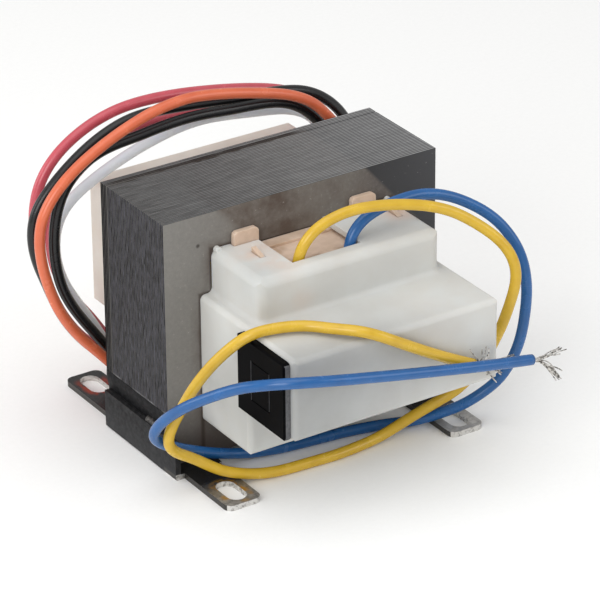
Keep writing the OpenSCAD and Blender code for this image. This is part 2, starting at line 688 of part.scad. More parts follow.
// Two blades on the inner end of the breaker's body
module breaker_terminals() {
  x0 = -front_w / 2 + breaker_l;
  mid_y = -(breaker_y0 + breaker_y1) / 2;
  third = (breaker_z1 - breaker_z0) / 3;
  color("goldenrod") placed() for (k = [1, 2])
    block([x0, mid_y - blade_w / 2, breaker_z0 + k * third - blade_t / 2],
      [x0 + blade_l, mid_y + blade_w / 2, breaker_z0 + k * third + blade_t / 2]);
}

module yellow_lead() { color("gold") placed() lead(yellow_route); }
module blue_lead() { color("royalblue") placed() lead(blue_route); }
module orange_lead() { color("orangered") placed() lead(orange_route); }
module black_lead() { color([0.1, 0.1, 0.1]) placed() lead(black_route); }
module white_lead() { color("ghostwhite") placed() lead(white_route); }
module red_lead() { color("crimson") placed() lead(red_route); }

module yellow_strands() { color("silver") placed() strands(yellow_route); }
module blue_strands() { color("silver") placed() strands(blue_route); }
module orange_strands() { color("silver") placed() strands(orange_route); }
module black_strands() { color("silver") placed() strands(black_route); }
module white_strands() { color("silver") placed() strands(white_route); }
module red_strands() { color("silver") placed() strands(red_route); }

e_laminations();
i_laminations();
left_foot_bracket();
right_foot_bracket();
bracket_welds();
bobbin();
primary_winding();
secondary_winding();
primary_wrap();
secondary_wrap();
front_cover();
rear_cover();
overload_breaker();
breaker_terminals();
yellow_lead();
blue_lead();
orange_lead();
black_lead();
white_lead();
red_lead();
yellow_strands();
blue_strands();
orange_strands();
black_strands();
white_strands();
red_strands();
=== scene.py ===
"""Dresses an open-core control transformer: steel sheets, folded feet, moulded covers and loose leads.

Sizes are in millimetres from the middle of the lamination stack at floor level, unless a name says
otherwise. They turn to metres in the part's frame when a mesh or a material is made.
"""

from __future__ import annotations

import logging
import math
from collections.abc import Callable
from dataclasses import dataclass, field
from enum import Enum
from functools import partial

import bpy
import numpy as np
from mathutils import Matrix, Vector

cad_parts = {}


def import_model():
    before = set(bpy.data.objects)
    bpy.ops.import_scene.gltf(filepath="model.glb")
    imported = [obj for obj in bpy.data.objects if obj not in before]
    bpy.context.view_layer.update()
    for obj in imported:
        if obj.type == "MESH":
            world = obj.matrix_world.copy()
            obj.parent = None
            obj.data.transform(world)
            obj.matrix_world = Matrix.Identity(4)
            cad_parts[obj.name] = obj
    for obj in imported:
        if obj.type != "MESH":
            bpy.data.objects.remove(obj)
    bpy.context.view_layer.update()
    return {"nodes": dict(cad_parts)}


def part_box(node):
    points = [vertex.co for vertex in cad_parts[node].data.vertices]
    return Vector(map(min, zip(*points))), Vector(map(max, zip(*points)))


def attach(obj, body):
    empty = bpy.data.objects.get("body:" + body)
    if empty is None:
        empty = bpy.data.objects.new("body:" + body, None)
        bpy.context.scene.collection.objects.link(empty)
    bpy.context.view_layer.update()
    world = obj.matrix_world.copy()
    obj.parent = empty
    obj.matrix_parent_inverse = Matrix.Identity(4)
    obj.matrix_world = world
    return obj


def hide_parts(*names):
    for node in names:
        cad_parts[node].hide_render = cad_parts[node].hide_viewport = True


LOG = logging.getLogger("transformer")
MM = 0.001
BODY = "root"
# Share of a normal along an axis beyond which a face counts as turned that way.
FACING = 0.7
# Points of a curve between two points of its route, and reach of the mean along it in standard widths.
SPAN_POINTS = 24
MEAN_REACH = 3
# Share of a tangent along Y beyond which X guides the first direction across a path.
STEEP = 0.8

Point = tuple[float, float, float]
Stops = tuple[tuple[float, str], ...]
Tree = bpy.types.NodeTree
Node = bpy.types.Node
Source = bpy.types.Node | bpy.types.NodeSocket
Add = Callable[..., Node]
Sockets = dict[str, object]


def linear(hex_colour: str) -> tuple[float, float, float, float]:
    """Turns an sRGB hex colour into linear light.

    Args:
        hex_colour: Six hex digits.

    Returns:
        Red, green, blue and an alpha of one.
    """
    parts = [int(hex_colour[i : i + 2], 16) / 255 for i in (0, 2, 4)]
    low = [c / 12.92 if c <= 0.04045 else ((c + 0.055) / 1.055) ** 2.4 for c in parts]
    return (low[0], low[1], low[2], 1.0)


def per_metre(size_mm: float) -> float:
    """Gives the texture scale at which one cell of a pattern is that many millimetres wide."""
    return 1 / (size_mm * MM)


def add_node(tree: Tree, kind: str, *values: object, stops: Stops = (), **settings: object) -> Node:
    """Adds a node with its settings, values and links.

    Args:
        tree: Node tree that gets the node.
        kind: Node type, without the ShaderNode before it, and its operation after a dot if it has one.
        values: Inputs in their order, or one dict of inputs by name. Each is a value, an output socket to
            link from, or a node, whose first working output is then linked.
        stops: Positions and hex colours of a colour ramp, from low to high.
        settings: Property names and values.

    Returns:
        The new node.
    """
    kind, _, operation = kind.partition(".")
    node = tree.nodes.new("ShaderNode" + kind)
    if operation:
        settings["operation"] = operation
    for name, value in settings.items():
        setattr(node, name, value)
    by_name = values and isinstance(values[0], dict)
    for name, value in (values[0] if by_name else dict(enumerate(values))).items():
        if isinstance(value, Node):
            value = next(output for output in value.outputs if output.enabled)
        if isinstance(value, bpy.types.NodeSocket):
            tree.links.new(value, node.inputs[name])
        else:
            node.inputs[name].default_value = value
    for number, (position, colour) in enumerate(stops):
        elements = node.color_ramp.elements
        if number >= 2:
            elements.new(1.0)
        elements[number].position = position
        elements[number].color = linear(colour)
    return node


def surface(add: Add) -> tuple[bpy.types.NodeSocket, Node, Node]:
    """Finds where a point of the surface lies and which way it faces.

    Args:
        add: Adds a node to the tree.

    Returns:
        The object coordinates, the same split into three numbers, and the normal split likewise.
    """
    place = add("TexCoord").outputs["Object"]
    axes = add("SeparateXYZ", place)
    turned = add("SeparateXYZ", add("NewGeometry").outputs["Normal"])
    return place, axes, turned


def distance(add: Add, along: Source, place_m: float) -> Node:
    """Measures how far a point lies from a place on an axis, to either side.

    Args:
        add: Adds a node to the tree.
        along: Where the point lies on the axis, in metres.
        place_m: The place on the axis.

    Returns:
        The distance in metres.
    """
    apart = add("Math.SUBTRACT", along, place_m)
    return add("Math.ABSOLUTE", apart)


@dataclass(frozen=True)
class PartFrame:
    """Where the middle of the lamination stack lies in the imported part."""

    middle_y_m: float

    def metres(self, points_mm: np.ndarray | list[Point]) -> np.ndarray:
        """Turns points from the middle of the stack into metres in the part's frame.

        Args:
            points_mm: Points as rows, or one point.

        Returns:
            The same points in metres.
        """
        return np.asarray(points_mm, float) * MM + np.array([0.0, self.middle_y_m, 0.0])


@dataclass(frozen=True)
class Layer:
    """A tint over a colour, from none where a measure is at the start to the most where it is full."""

    tint: str
    start: float
    full: float
    most: float = 1.0

    def over(self, add: Add, under: Source, measure: Source, *shares: Source) -> Node:
        """Lays the tint over a colour.

        Args:
            add: Adds a node to the tree.
            under: The colour below.
            measure: The measure that the tint goes by.
            shares: Further shares that hold the tint back where they are below one.

        Returns:
            The tinted colour.
        """
        share = add(
            "MapRange",
            {"Value": measure, "From Min": self.start, "From Max": self.full, "To Max": self.most},
        )
        for other in shares:
            share = add("Math.MULTIPLY", share, other)
        return add("Mix", {"Factor": share, 6: under, 7: linear(self.tint)}, data_type="RGBA")


@dataclass(frozen=True)
class Finish:
    """A surface finish, which becomes one material."""

    name: str

    def sockets(self, add: Add) -> Sockets:
        """Adds the pattern's nodes and returns the shader's inputs by name."""
        raise NotImplementedError

    def build(self) -> bpy.types.Material:
        """Makes the material and returns it."""
        material = bpy.data.materials.new(self.name)
        material.use_nodes = True
        material.node_tree.nodes.clear()
        add = partial(add_node, material.node_tree)
        shader = add("BsdfPrincipled", self.sockets(add))
        add("OutputMaterial", {"Surface": shader})
        return material


@dataclass(frozen=True)
class SheetSteel(Finish):
    """Silicon-steel sheets, sheared, stacked and dipped in varnish.

    The sheared edges give fine dull lines, with painted shade in the grooves between the sheets, mid grey
    on top and darker and streaked down the sides, nearly black over the rear sheets and where the varnish
    has run together beside the feet.
    On top a painted shade fills the gap before the rear sheets, and down the sides a painted highlight runs
    along the lower edge of the E stack.
    The front sheet is smooth warm grey that browns and darkens to the right and round the cover, darker and
    browner towards the bottom, with painted shade in the seams along the cover and above the bobbin's deck
    and a painted dark reflection over one corner.
    """

    frame: PartFrame
    half_stack_mm: float = 15.9
    half_width_mm: float = 42.85
    sheet_mm: float = 31.8 / 40
    side_streak_mm: float = 2.6
    top_streak_mm: float = 9.0
    cells_apart: float = 7.3
    top_streak_share: float = 0.36
    top_level: tuple[float, float] = (0.21, 0.49)
    blotch_mm: float = 9.0
    grain_mm: float = 0.9
    band_top_mm: float = 17.4
    gap_mm: float = 2.6
    gap_half_mm: tuple[float, float] = (0.75, 1.2)
    bow_middle_mm: float = -12.0
    wide_cover_mm: tuple[float, float] = (32.0, 49.9)
    narrow_cover_mm: tuple[float, float] = (28.4, 62.4)
    reflection_corner_mm: tuple[float, float] = (20.9, 72.2)
    corner_slope: tuple[float, float] = (0.752, 0.658)
    reflection_soft_mm: tuple[float, float] = (-0.4, 0.5)
    stain_from_mm: tuple[float, float] = (27.3, 29.3)
    stain_fades_mm: tuple[float, float] = (-5.0, 3.0)
    halo_mm: tuple[float, float] = (3.5, 0.5)
    opening_mm: tuple[float, float] = (-3.0, 11.5)
    spot_mm: Point = (-32.4, -15.9, 64.4)
    groove_shade: Layer = Layer("1E1E1F", 0.28, 0.15, 0.9)
    dark_rear: Layer = Layer("0C0C0E", 3.4 * MM, 2.6 * MM, 0.92)
    gap_shade: Layer = Layer("2A2221", 34 * MM, 27 * MM, 0.92)
    low_varnish: Layer = Layer("0D0D0E", 17.7 * MM, 17.1 * MM)
    edge_highlight: Layer = Layer("98989A", 0.4 * MM, 0.1 * MM, 0.6)
    light_grain: Layer = Layer("A39F99", 0.32, 0.68, 0.18)
    low_darkening: Layer = Layer("4E443E", 24 * MM, 4 * MM, 0.75)
    brown_stain: Layer = Layer("574C45", 0.0, 1.0)
    cover_gap_shade: Layer = Layer("3A2E29", 0.9 * MM, 0.2 * MM, 0.75)
    deck_gap_shade: Layer = Layer("3A2E29", 61.0 * MM, 60.6 * MM, 0.85)
    dark_spot: Layer = Layer("2E2825", 0.75 * MM, 0.3 * MM, 0.8)
    dust: Layer = Layer("C2BFBA", 0.66, 0.74, 0.4)

    def edge_colour(self, add: Add, place: Source, axes: Node, turned: Node) -> tuple[Node, Node]:
        """Paints the sheared edges, with painted shade in the grooves and in the rear gap on top, and a
        painted highlight along the lower edge of the E stack's sides.

        Args:
            add: Adds a node to the tree.
            place: Object coordinates.
            axes: The same, split into its three numbers.
            turned: The surface's normal, split likewise.

        Returns:
            The colour, and the streaks that it is made from.
        """
        x, z = axes.outputs["X"], axes.outputs["Z"]
        rear_m = self.half_stack_mm * MM + self.frame.middle_y_m
        from_rear = add("Math.SUBTRACT", rear_m, axes.outputs["Y"])
        sheet = add("Math.MULTIPLY", from_rear, per_metre(self.sheet_mm))
        within = add("Math.PINGPONG", sheet, 0.5)
        number = add("Math.FLOOR", sheet)
        apart = add("Math.MULTIPLY", number, self.cells_apart)
        own_place = add("CombineXYZ", {"Y": apart})
        run = (per_metre(self.top_streak_mm), 0.0, per_metre(self.side_streak_mm))
        along = add("VectorMath.MULTIPLY_ADD", place, run, own_place)
        streak = add("TexNoise", {"Vector": along, "Scale": 1.0, "Detail": 4.0, "Roughness": 0.6})
        half, (left, right) = self.half_width_mm * MM, self.top_level
        level = add(
            "MapRange", {"Value": x, "From Min": -half, "From Max": half, "To Min": left, "To Max": right}
        )
        top_share = add("Math.MULTIPLY_ADD", streak, self.top_streak_share, level)
        top = add("ValToRGB", {"Fac": top_share}, stops=((0.34, "515152"), (0.7, "969696")))
        side = add("ValToRGB", {"Fac": streak}, stops=((0.34, "1E1E21"), (0.68, "515158")))
        side = self.dark_rear.over(add, side, from_rear)
        patch = add("TexNoise", {"Vector": place, "Scale": per_metre(self.blotch_mm), "Detail": 3.0})
        least, most = (width * MM for width in self.gap_half_mm)
        spread = add(
            "MapRange", {"Value": patch, "From Min": 0.4, "From Max": 0.62, "To Min": least, "To Max": most}
        )
        off_gap = distance(add, from_rear, self.gap_mm * MM)
        in_gap = add("Math.LESS_THAN", off_gap, spread)
        # Painted shade in the gap before the loose rear sheets, on top.
        top = self.gap_shade.over(add, top, distance(add, x, self.bow_middle_mm * MM), in_gap)
        steep = add("Math.ABSOLUTE", turned.outputs["X"])
        is_side = add("Math.GREATER_THAN", steep, FACING)
        edge = add("Mix", {"Factor": is_side, 6: top, 7: side}, data_type="RGBA")
        # Painted shade in the grooves between the sheets.
        edge = self.groove_shade.over(add, edge, within)
        edge = self.low_varnish.over(add, edge, z)
        # Painted highlight along the lower edge of the E stack's sides, broken up by the clouds.
        broken = add("MapRange", {"Value": patch, "From Min": 0.42, "From Max": 0.56})
        off_highlight = distance(add, z, self.band_top_mm * MM)
        return self.edge_highlight.over(add, edge, off_highlight, broken), streak

    def outline_distance(self, add: Add, axes: Node) -> Node:
        """Measures how far a point of the front sheet lies outside the cover's stepped outline.

        The distance to a block is the larger of its distances past the side and past the top, and the
        outline's distance is the smaller of the two blocks' distances.

        Args:
            add: Adds a node to the tree.
            axes: Object coordinates, split into their three numbers.

        Returns:
            The distance in metres.
        """
        out = add("Math.ABSOLUTE", axes.outputs["X"])
        blocks = []
        for half_width, top in (self.wide_cover_mm, self.narrow_cover_mm):
            past_side = add("Math.SUBTRACT", out, half_width * MM)
            past_top = add("Math.SUBTRACT", axes.outputs["Z"], top * MM)
            blocks.append(add("Math.MAXIMUM", past_side, past_top))
        return add("Math.MINIMUM", blocks[0], blocks[1])

    def brown(self, add: Add, x: Source, past: Source, near: Source, blotch: Node) -> tuple[Node, ...]:
        """Finds where the front sheet is stained brown: beyond a slant line and in a halo round the cover.

        Args:
            add: Adds a node to the tree.
            x: Where the point lies from left to right.
            past: How far it lies up the slope of the dark corner.
            near: How far it lies outside the cover's outline.
            blotch: The clouds that break the stain up.

        Returns:
            Three shares, which are multiplied: the stain's reach, its patches, and its fading to the right.
        """
        start, full = (place * MM for place in self.stain_from_mm)
        beyond = add("MapRange", {"Value": past, "From Min": start, "From Max": full})
        outer, inner = (width * MM for width in self.halo_mm)
        halo = add("MapRange", {"Value": near, "From Min": outer, "From Max": inner, "To Max": 0.7})
        stain_and_reflection = add("Math.MAXIMUM", beyond, halo)
        patch = add(
            "MapRange",
            {"Value": blotch, "From Min": 0.38, "From Max": 0.6, "To Min": 0.15, "To Max": 0.95},
        )
        left, right = (place * MM for place in self.stain_fades_mm)
        fading = add(
            "MapRange", {"Value": x, "From Min": left, "From Max": right, "To Min": 1.0, "To Max": 0.4}
        )
        return stain_and_reflection, patch, fading

    def face_colour(self, add: Add, place: Source, axes: Node) -> Node:
        """Paints the flat of the front sheet, with painted shade in the seams along the cover and above the
        deck and a painted dark reflection over one corner.

        Args:
            add: Adds a node to the tree.
            place: Object coordinates.
            axes: The same, split into its three numbers.

        Returns:
            The colour.
        """
        x, z = axes.outputs["X"], axes.outputs["Z"]
        blotch_size, grain_size = per_metre(self.blotch_mm), per_metre(self.grain_mm)
        blotch = add(
            "TexNoise", {"Vector": place, "Scale": blotch_size, "Detail": 5.0, "Roughness": 0.62}
        )
        grain = add("TexNoise", {"Vector": place, "Scale": grain_size, "Detail": 4.0, "Roughness": 0.7})
        half = self.half_width_mm * MM
        across = add("MapRange", {"Value": x, "From Min": -half, "From Max": half})
        colour = add(
            "ValToRGB", {"Fac": across},
            stops=(
                (0.0, "7D7B77"), (0.2, "75726E"), (0.36, "6D6863"), (0.56, "716C66"), (0.66, "6E6963"),
                (0.78, "585350"), (1.0, "484542"),
            ),
        )
        colour = self.light_grain.over(add, colour, grain)
        # Darker and browner towards the bottom of the front sheet.
        colour = self.low_darkening.over(add, colour, z)
        near = self.outline_distance(add, axes)
        normal = (self.corner_slope[0], 0.0, self.corner_slope[1])
        past = add("VectorMath.DOT_PRODUCT", place, normal).outputs["Value"]
        colour = self.brown_stain.over(add, colour, *self.brown(add, x, past, near, blotch))
        # Painted dark reflection over the upper right corner of the front sheet, beyond a slant line.
        corner_at = self.reflection_corner_mm[0] * normal[0] + self.reflection_corner_mm[1] * normal[2]
        start, full = ((corner_at + soft) * MM for soft in self.reflection_soft_mm)
        in_reflection = add("MapRange", {"Value": past, "From Min": start, "From Max": full})
        dark_reflection = add("ValToRGB", {"Fac": across}, stops=((0.7, "373738"), (1.0, "454547")))
        colour = add("Mix", {"Factor": in_reflection, 6: colour, 7: dark_reflection}, data_type="RGBA")
        middle, half_opening = (size * MM for size in self.opening_mm)
        off_opening = distance(add, x, middle)
        is_closed = add("Math.GREATER_THAN", off_opening, half_opening)
        is_open = add("Math.LESS_THAN", off_opening, half_opening)
        beside = add("Math.ABSOLUTE", near)
        # Painted shade in the seam along the cover and just above the bobbin's deck.
        colour = self.cover_gap_shade.over(add, colour, beside, is_closed)
        colour = self.deck_gap_shade.over(add, colour, z, is_open)
        centre = tuple(self.frame.metres(self.spot_mm))
        reach = add("VectorMath.DISTANCE", place, centre).outputs["Value"]
        colour = self.dark_spot.over(add, colour, reach)
        return self.dust.over(add, colour, grain)

    def sockets(self, add: Add) -> Sockets:
        """Adds the pattern's nodes and returns the shader's inputs by name."""
        place, axes, turned = surface(add)
        edge, streak = self.edge_colour(add, place, axes, turned)
        face = self.face_colour(add, place, axes)
        flat = add("Math.ABSOLUTE", turned.outputs["Y"])
        is_face = add("Math.GREATER_THAN", flat, FACING)
        colour = add("Mix", {"Factor": is_face, 6: edge, 7: face}, data_type="RGBA")
        rough = add("MapRange", {"Value": is_face, "To Min": 0.55, "To Max": 0.42})
        shine = add("MapRange", {"Value": is_face, "To Min": 0.05, "To Max": 0.2})
        bump = add("Bump", {"Strength": 0.2, "Distance": 0.05 * MM, "Height": streak})
        return {"Base Color": colour, "Roughness": rough, "Specular IOR Level": shine, "Normal": bump}


@dataclass(frozen=True)
class FootSteel(Finish):
    """Folded sheet steel under a black varnish.

    The wall is matt and nearly black. The tabs are glossy dark metal that mirrors the leads above them,
    with a painted reflection of the yellow and orange leads in patches round the slots of the left tabs.
    The sheared ends and the walls of the slots are bare and bright, and the rounded top edges of the tabs
    get the same colour as a painted highlight.
    The coats are ramps over the grit: the wall's, the tabs', the bare edges' and painted highlights', the
    worn left front tab's and the worn right front tab's.
    """

    frame: PartFrame
    sheet_mm: float = 1.6
    over_sheet_mm: float = 0.1
    sheared_level: float = 0.4
    bare_and_highlight_level: float = 0.95
    side_level: float = 0.5
    tab_from_mm: float = 15.0
    tab_middle_mm: float = 35.7
    tab_half_mm: float = 5.0
    slot_middle_mm: float = 35.6
    slot_straight_mm: float = 5.0
    slot_radius_mm: float = 2.8
    grit_mm: float = 1.4
    reflection_patch_mm: float = 3.0
    reflection_reach_mm: tuple[float, float] = (2.1, 0.7)
    reflection_share: float = 0.85
    reflection_ends_mm: tuple[float, float] = (40.5, 37.0)
    worn_mm: tuple[float, float] = (-28.0, -38.0)
    worn_share: float = 0.85
    coats: tuple[Stops, ...] = (
        ((0.38, "19191A"), (0.68, "363637")),
        ((0.35, "363636"), (0.7, "4C4B4A")),
        ((0.36, "84817D"), (0.52, "D8D6D2")),
        ((0.35, "86827D"), (0.65, "BAB5AE")),
        ((0.35, "A8A5A1"), (0.65, "D6D3CE")),
    )
    lead_reflections: Stops = ((0.0, "C29030"), (1.0, "AC402A"))
    dull_edge: str = "4C4A48"
    low_wall: Layer = Layer("48484A", 9 * MM, 1.5 * MM, 0.35)

    def round_slots(self, add: Add, place: Source, beside: Node, reach: Node) -> Node:
        """Finds the patchy painted reflection of the leads round the slots.

        A slot is a straight line with a radius, so the distance to it is the length of the two distances to
        that line, across it and past its ends.

        Args:
            add: Adds a node to the tree.
            place: Object coordinates.
            beside: Distance to the side from the middle of a tab.
            reach: Distance to the front or rear from the middle of the stack.

        Returns:
            The share of stain, from zero to one.
        """
        either_way = distance(add, reach, self.slot_middle_mm * MM)
        half_line = self.slot_straight_mm / 2 * MM
        past_line = add("Math.SUBTRACT", either_way, half_line)
        past_end = add("Math.MAXIMUM", past_line, 0.0)
        offset = add("CombineXYZ", {"X": beside, "Y": past_end})
        away = add("VectorMath.LENGTH", offset).outputs["Value"]
        outer, inner = ((self.slot_radius_mm + width) * MM for width in self.reflection_reach_mm)
        near = add(
            "MapRange",
            {"Value": away, "From Min": outer, "From Max": inner, "To Max": self.reflection_share},
        )
        patch = add("TexNoise", {"Vector": place, "Scale": per_metre(self.reflection_patch_mm), "Detail": 4.0})
        patchy = add("MapRange", {"Value": patch, "From Min": 0.44, "From Max": 0.56})
        return add("Math.MULTIPLY", near, patchy)

    def sockets(self, add: Add) -> Sockets:
        """Adds the pattern's nodes and returns the shader's inputs by name."""
        place, axes, turned = surface(add)
        x, z = axes.outputs["X"], axes.outputs["Z"]
        size = per_metre(self.grit_mm)
        grit = add("TexNoise", {"Vector": place, "Scale": size, "Detail": 6.0, "Roughness": 0.7})
        from_middle = add("Math.SUBTRACT", axes.outputs["Y"], self.frame.middle_y_m)
        reach = add("Math.ABSOLUTE", from_middle)
        past_base = add("Math.GREATER_THAN", reach, self.tab_from_mm * MM)
        low = add("Math.LESS_THAN", z, (self.sheet_mm + self.over_sheet_mm) * MM)
        on_tab = add("Math.MULTIPLY", past_base, low)
        level = add("Math.ABSOLUTE", turned.outputs["Z"])
        sheared = add("Math.LESS_THAN", level, self.sheared_level)
        # The sloped faces of the tabs get the bare bright colour: bare metal on the sheared ends and slot
        # walls, a painted highlight on the rounded top edges.
        bare_and_highlight_rim = add("Math.LESS_THAN", level, self.bare_and_highlight_level)
        out = add("Math.ABSOLUTE", x)
        beside = distance(add, out, self.tab_middle_mm * MM)
        long_side = add("Math.GREATER_THAN", beside, self.tab_half_mm * MM)
        ahead = add("Math.ABSOLUTE", turned.outputs["Y"])
        facing = add("Math.LESS_THAN", ahead, self.side_level)
        long_wall = add("Math.MULTIPLY", long_side, facing)
        dull = add("Math.MULTIPLY", long_wall, sheared)
        wall, tab, bare_and_highlight, worn, wear_and_sheen = (add("ValToRGB", {"Fac": grit}, stops=coat) for coat in self.coats)
        wall = self.low_wall.over(add, wall, z)
        start, full = (place_mm * MM for place_mm in self.worn_mm)
        end = add(
            "MapRange",
            {"Value": from_middle, "From Min": start, "From Max": full, "To Max": self.worn_share},
        )
        is_right = add("Math.GREATER_THAN", x, 0.0)
        worn = add("Mix", {"Factor": is_right, 6: worn, 7: wear_and_sheen}, data_type="RGBA")
        tab = add("Mix", {"Factor": end, 6: tab, 7: worn}, data_type="RGBA")
        is_rear = add("Math.GREATER_THAN", from_middle, 0.0)
        # Painted reflection of the yellow lead on the front left tab and of the orange leads on the rear
        # left tab, in patches round the slots.
        reflected_colour = add("ValToRGB", {"Fac": is_rear}, stops=self.lead_reflections)
        last, whole = (place_mm * MM for place_mm in self.reflection_ends_mm)
        inside = add("MapRange", {"Value": from_middle, "From Min": last, "From Max": whole})
        is_left = add("Math.LESS_THAN", x, 0.0)
        on_left = add("Math.MULTIPLY", inside, is_left)
        stain_and_reflection = self.round_slots(add, place, beside, reach)
        painted_reflection = add("Math.MULTIPLY", stain_and_reflection, on_left)
        tab = add("Mix", {"Factor": painted_reflection, 6: tab, 7: reflected_colour}, data_type="RGBA")
        edge = add("Mix", {"Factor": dull, 6: bare_and_highlight, 7: linear(self.dull_edge)}, data_type="RGBA")
        shown = add("Mix", {"Factor": bare_and_highlight_rim, 6: tab, 7: edge}, data_type="RGBA")
        colour = add("Mix", {"Factor": on_tab, 6: wall, 7: shown}, data_type="RGBA")
        polish = add("MapRange", {"Value": end, "To Min": 0.26, "To Max": 0.4})
        rough = add("MapRange", {"Value": on_tab, "To Min": 0.5, "To Max": polish})
        bright = add("MapRange", {"Value": end, "To Min": 0.7, "To Max": 0.5})
        metal = add("Math.MULTIPLY", on_tab, bright)
        bump = add("Bump", {"Strength": 0.12, "Distance": 0.04 * MM, "Height": grit})
        return {
            "Base Color": colour, "Metallic": metal, "Roughness": rough, "Normal": bump,
            "Specular IOR Level": 0.1,
        }


@dataclass(frozen=True)
class Mottled(Finish):
    """A finish with one mottle of two colours, which may also stand a little proud of the surface."""

    cell_mm: float = 1.0
    detail: float = 4.0
    stops: Stops = ()
    roughness: float = 0.5
    metallic: float = 0.0
    specular: float = 0.5
    relief: float = 0.0
    relief_mm: float = 0.04

    def sockets(self, add: Add) -> Sockets:
        """Adds the pattern's nodes and returns the shader's inputs by name."""
        place = add("TexCoord").outputs["Object"]
        size = per_metre(self.cell_mm)
        mottle = add("TexNoise", {"Vector": place, "Scale": size, "Detail": self.detail})
        colour = add("ValToRGB", {"Fac": mottle}, stops=self.stops)
        inputs = {
            "Base Color": colour, "Roughness": self.roughness, "Metallic": self.metallic,
            "Specular IOR Level": self.specular,
        }
        if self.relief > 0:
            depth = self.relief_mm * MM
            inputs["Normal"] = add("Bump", {"Strength": self.relief, "Distance": depth, "Height": mottle})
        return inputs


@dataclass(frozen=True)
class DippingVarnish(Mottled):
    """Dried black dipping varnish: a smooth deep film with a dull sheen and a little dust in it."""

    cell_mm: float = 0.9
    stops: Stops = ((0.4, "0F0F10"), (0.7, "262628"))
    roughness: float = 0.45
    specular: float = 0.06
    relief: float = 0.15


@dataclass(frozen=True)
class WeldBead(Mottled):
    """Dab of fused steel, dark, lumpy and half bright."""

    cell_mm: float = 0.9
    detail: float = 3.0
    stops: Stops = ((0.35, "2B2A2A"), (0.7, "5E5B58"))
    roughness: float = 0.42
    metallic: float = 0.6
    relief: float = 0.7
    relief_mm: float = 0.2


@dataclass(frozen=True)
class TintedSpot:
    """A spot of colour laid over a moulding, for what lies behind a translucent wall, for painted shade,
    for painted light and for darker patches.

    The tint fades from its middle over the radius, or over less from front to rear where the spot is
    flattened, and the clouds of the moulding break it up.
    """

    centre_mm: Point
    radius_mm: float
    share: float
    tint: str = "D9B49C"
    flattened: float = 1.0
    patchiness: float = 1.0


@dataclass(frozen=True)
class MouldedNylon(Finish):
    """Injection-moulded nylon: light sinks in and blurs the edges, and the skin has a faint matt grain."""

    frame: PartFrame
    colour: str
    cloudy: str
    tinted_spots: tuple[TintedSpot, ...] = ()
    depth_mm: float = 2.0
    cloud_mm: float = 14.0
    grain_mm: float = 0.6

    def sockets(self, add: Add) -> Sockets:
        """Adds the pattern's nodes and returns the shader's inputs by name."""
        place = add("TexCoord").outputs["Object"]
        size = per_metre(self.cloud_mm)
        cloud = add("TexNoise", {"Vector": place, "Scale": size, "Detail": 4.0, "Roughness": 0.55})
        grain = add("TexNoise", {"Vector": place, "Scale": per_metre(self.grain_mm), "Detail": 2.0})
        colour = add("ValToRGB", {"Fac": cloud}, stops=((0.36, self.colour), (0.7, self.cloudy)))
        for spot in self.tinted_spots:
            centre = tuple(self.frame.metres(spot.centre_mm))
            offset = add("VectorMath.SUBTRACT", place, centre)
            flat = (1.0, spot.flattened, 1.0)
            spread = add("VectorMath.MULTIPLY", offset, flat)
            reach = add("VectorMath.LENGTH", spread).outputs["Value"]
            near = add(
                "MapRange",
                {"Value": reach, "From Min": spot.radius_mm * MM, "From Max": 0.0, "To Max": spot.share},
                interpolation_type="SMOOTHSTEP",
            )
            patchy = add(
                "MapRange",
                {"Value": cloud, "From Min": 0.3, "From Max": 0.6, "To Min": 1 - spot.patchiness},
            )
            share = add("Math.MULTIPLY", near, patchy)
            colour = add("Mix", {"Factor": share, 6: colour, 7: linear(spot.tint)}, data_type="RGBA")
        bump = add("Bump", {"Strength": 0.1, "Distance": 0.04 * MM, "Height": grain})
        return {
            "Base Color": colour, "Roughness": 0.58, "Specular IOR Level": 0.35, "Subsurface Weight": 0.45,
            "Subsurface Radius": (1.0, 0.92, 0.8), "Subsurface Scale": self.depth_mm * MM, "Normal": bump,
        }


@dataclass(frozen=True)
class BlackMoulding(Finish):
    """Black phenolic moulding, deep and satin, with a painted grey highlight on the faces that look to the
    front.
    """

    grain_mm: float = 0.7
    ahead: float = -0.8

    def sockets(self, add: Add) -> Sockets:
        """Adds the pattern's nodes and returns the shader's inputs by name."""
        place = add("TexCoord").outputs["Object"]
        grain = add("TexNoise", {"Vector": place, "Scale": per_metre(self.grain_mm), "Detail": 4.0})
        black = add("ValToRGB", {"Fac": grain}, stops=((0.35, "060607"), (0.8, "0D0D0F")))
        # Painted grey highlight on the faces that look to the front.
        wear_and_sheen = add("ValToRGB", {"Fac": grain}, stops=((0.35, "58585A"), (0.7, "6A6A6C")))
        turned = add("SeparateXYZ", add("NewGeometry").outputs["Normal"])
        is_front = add("Math.LESS_THAN", turned.outputs["Y"], self.ahead)
        colour = add("Mix", {"Factor": is_front, 6: black, 7: wear_and_sheen}, data_type="RGBA")
        rough = add("MapRange", {"Value": grain, "To Min": 0.3, "To Max": 0.48})
        bump = add("Bump", {"Strength": 0.1, "Distance": 0.04 * MM, "Height": grain})
        return {"Base Color": colour, "Roughness": rough, "Specular IOR Level": 0.02, "Normal": bump}


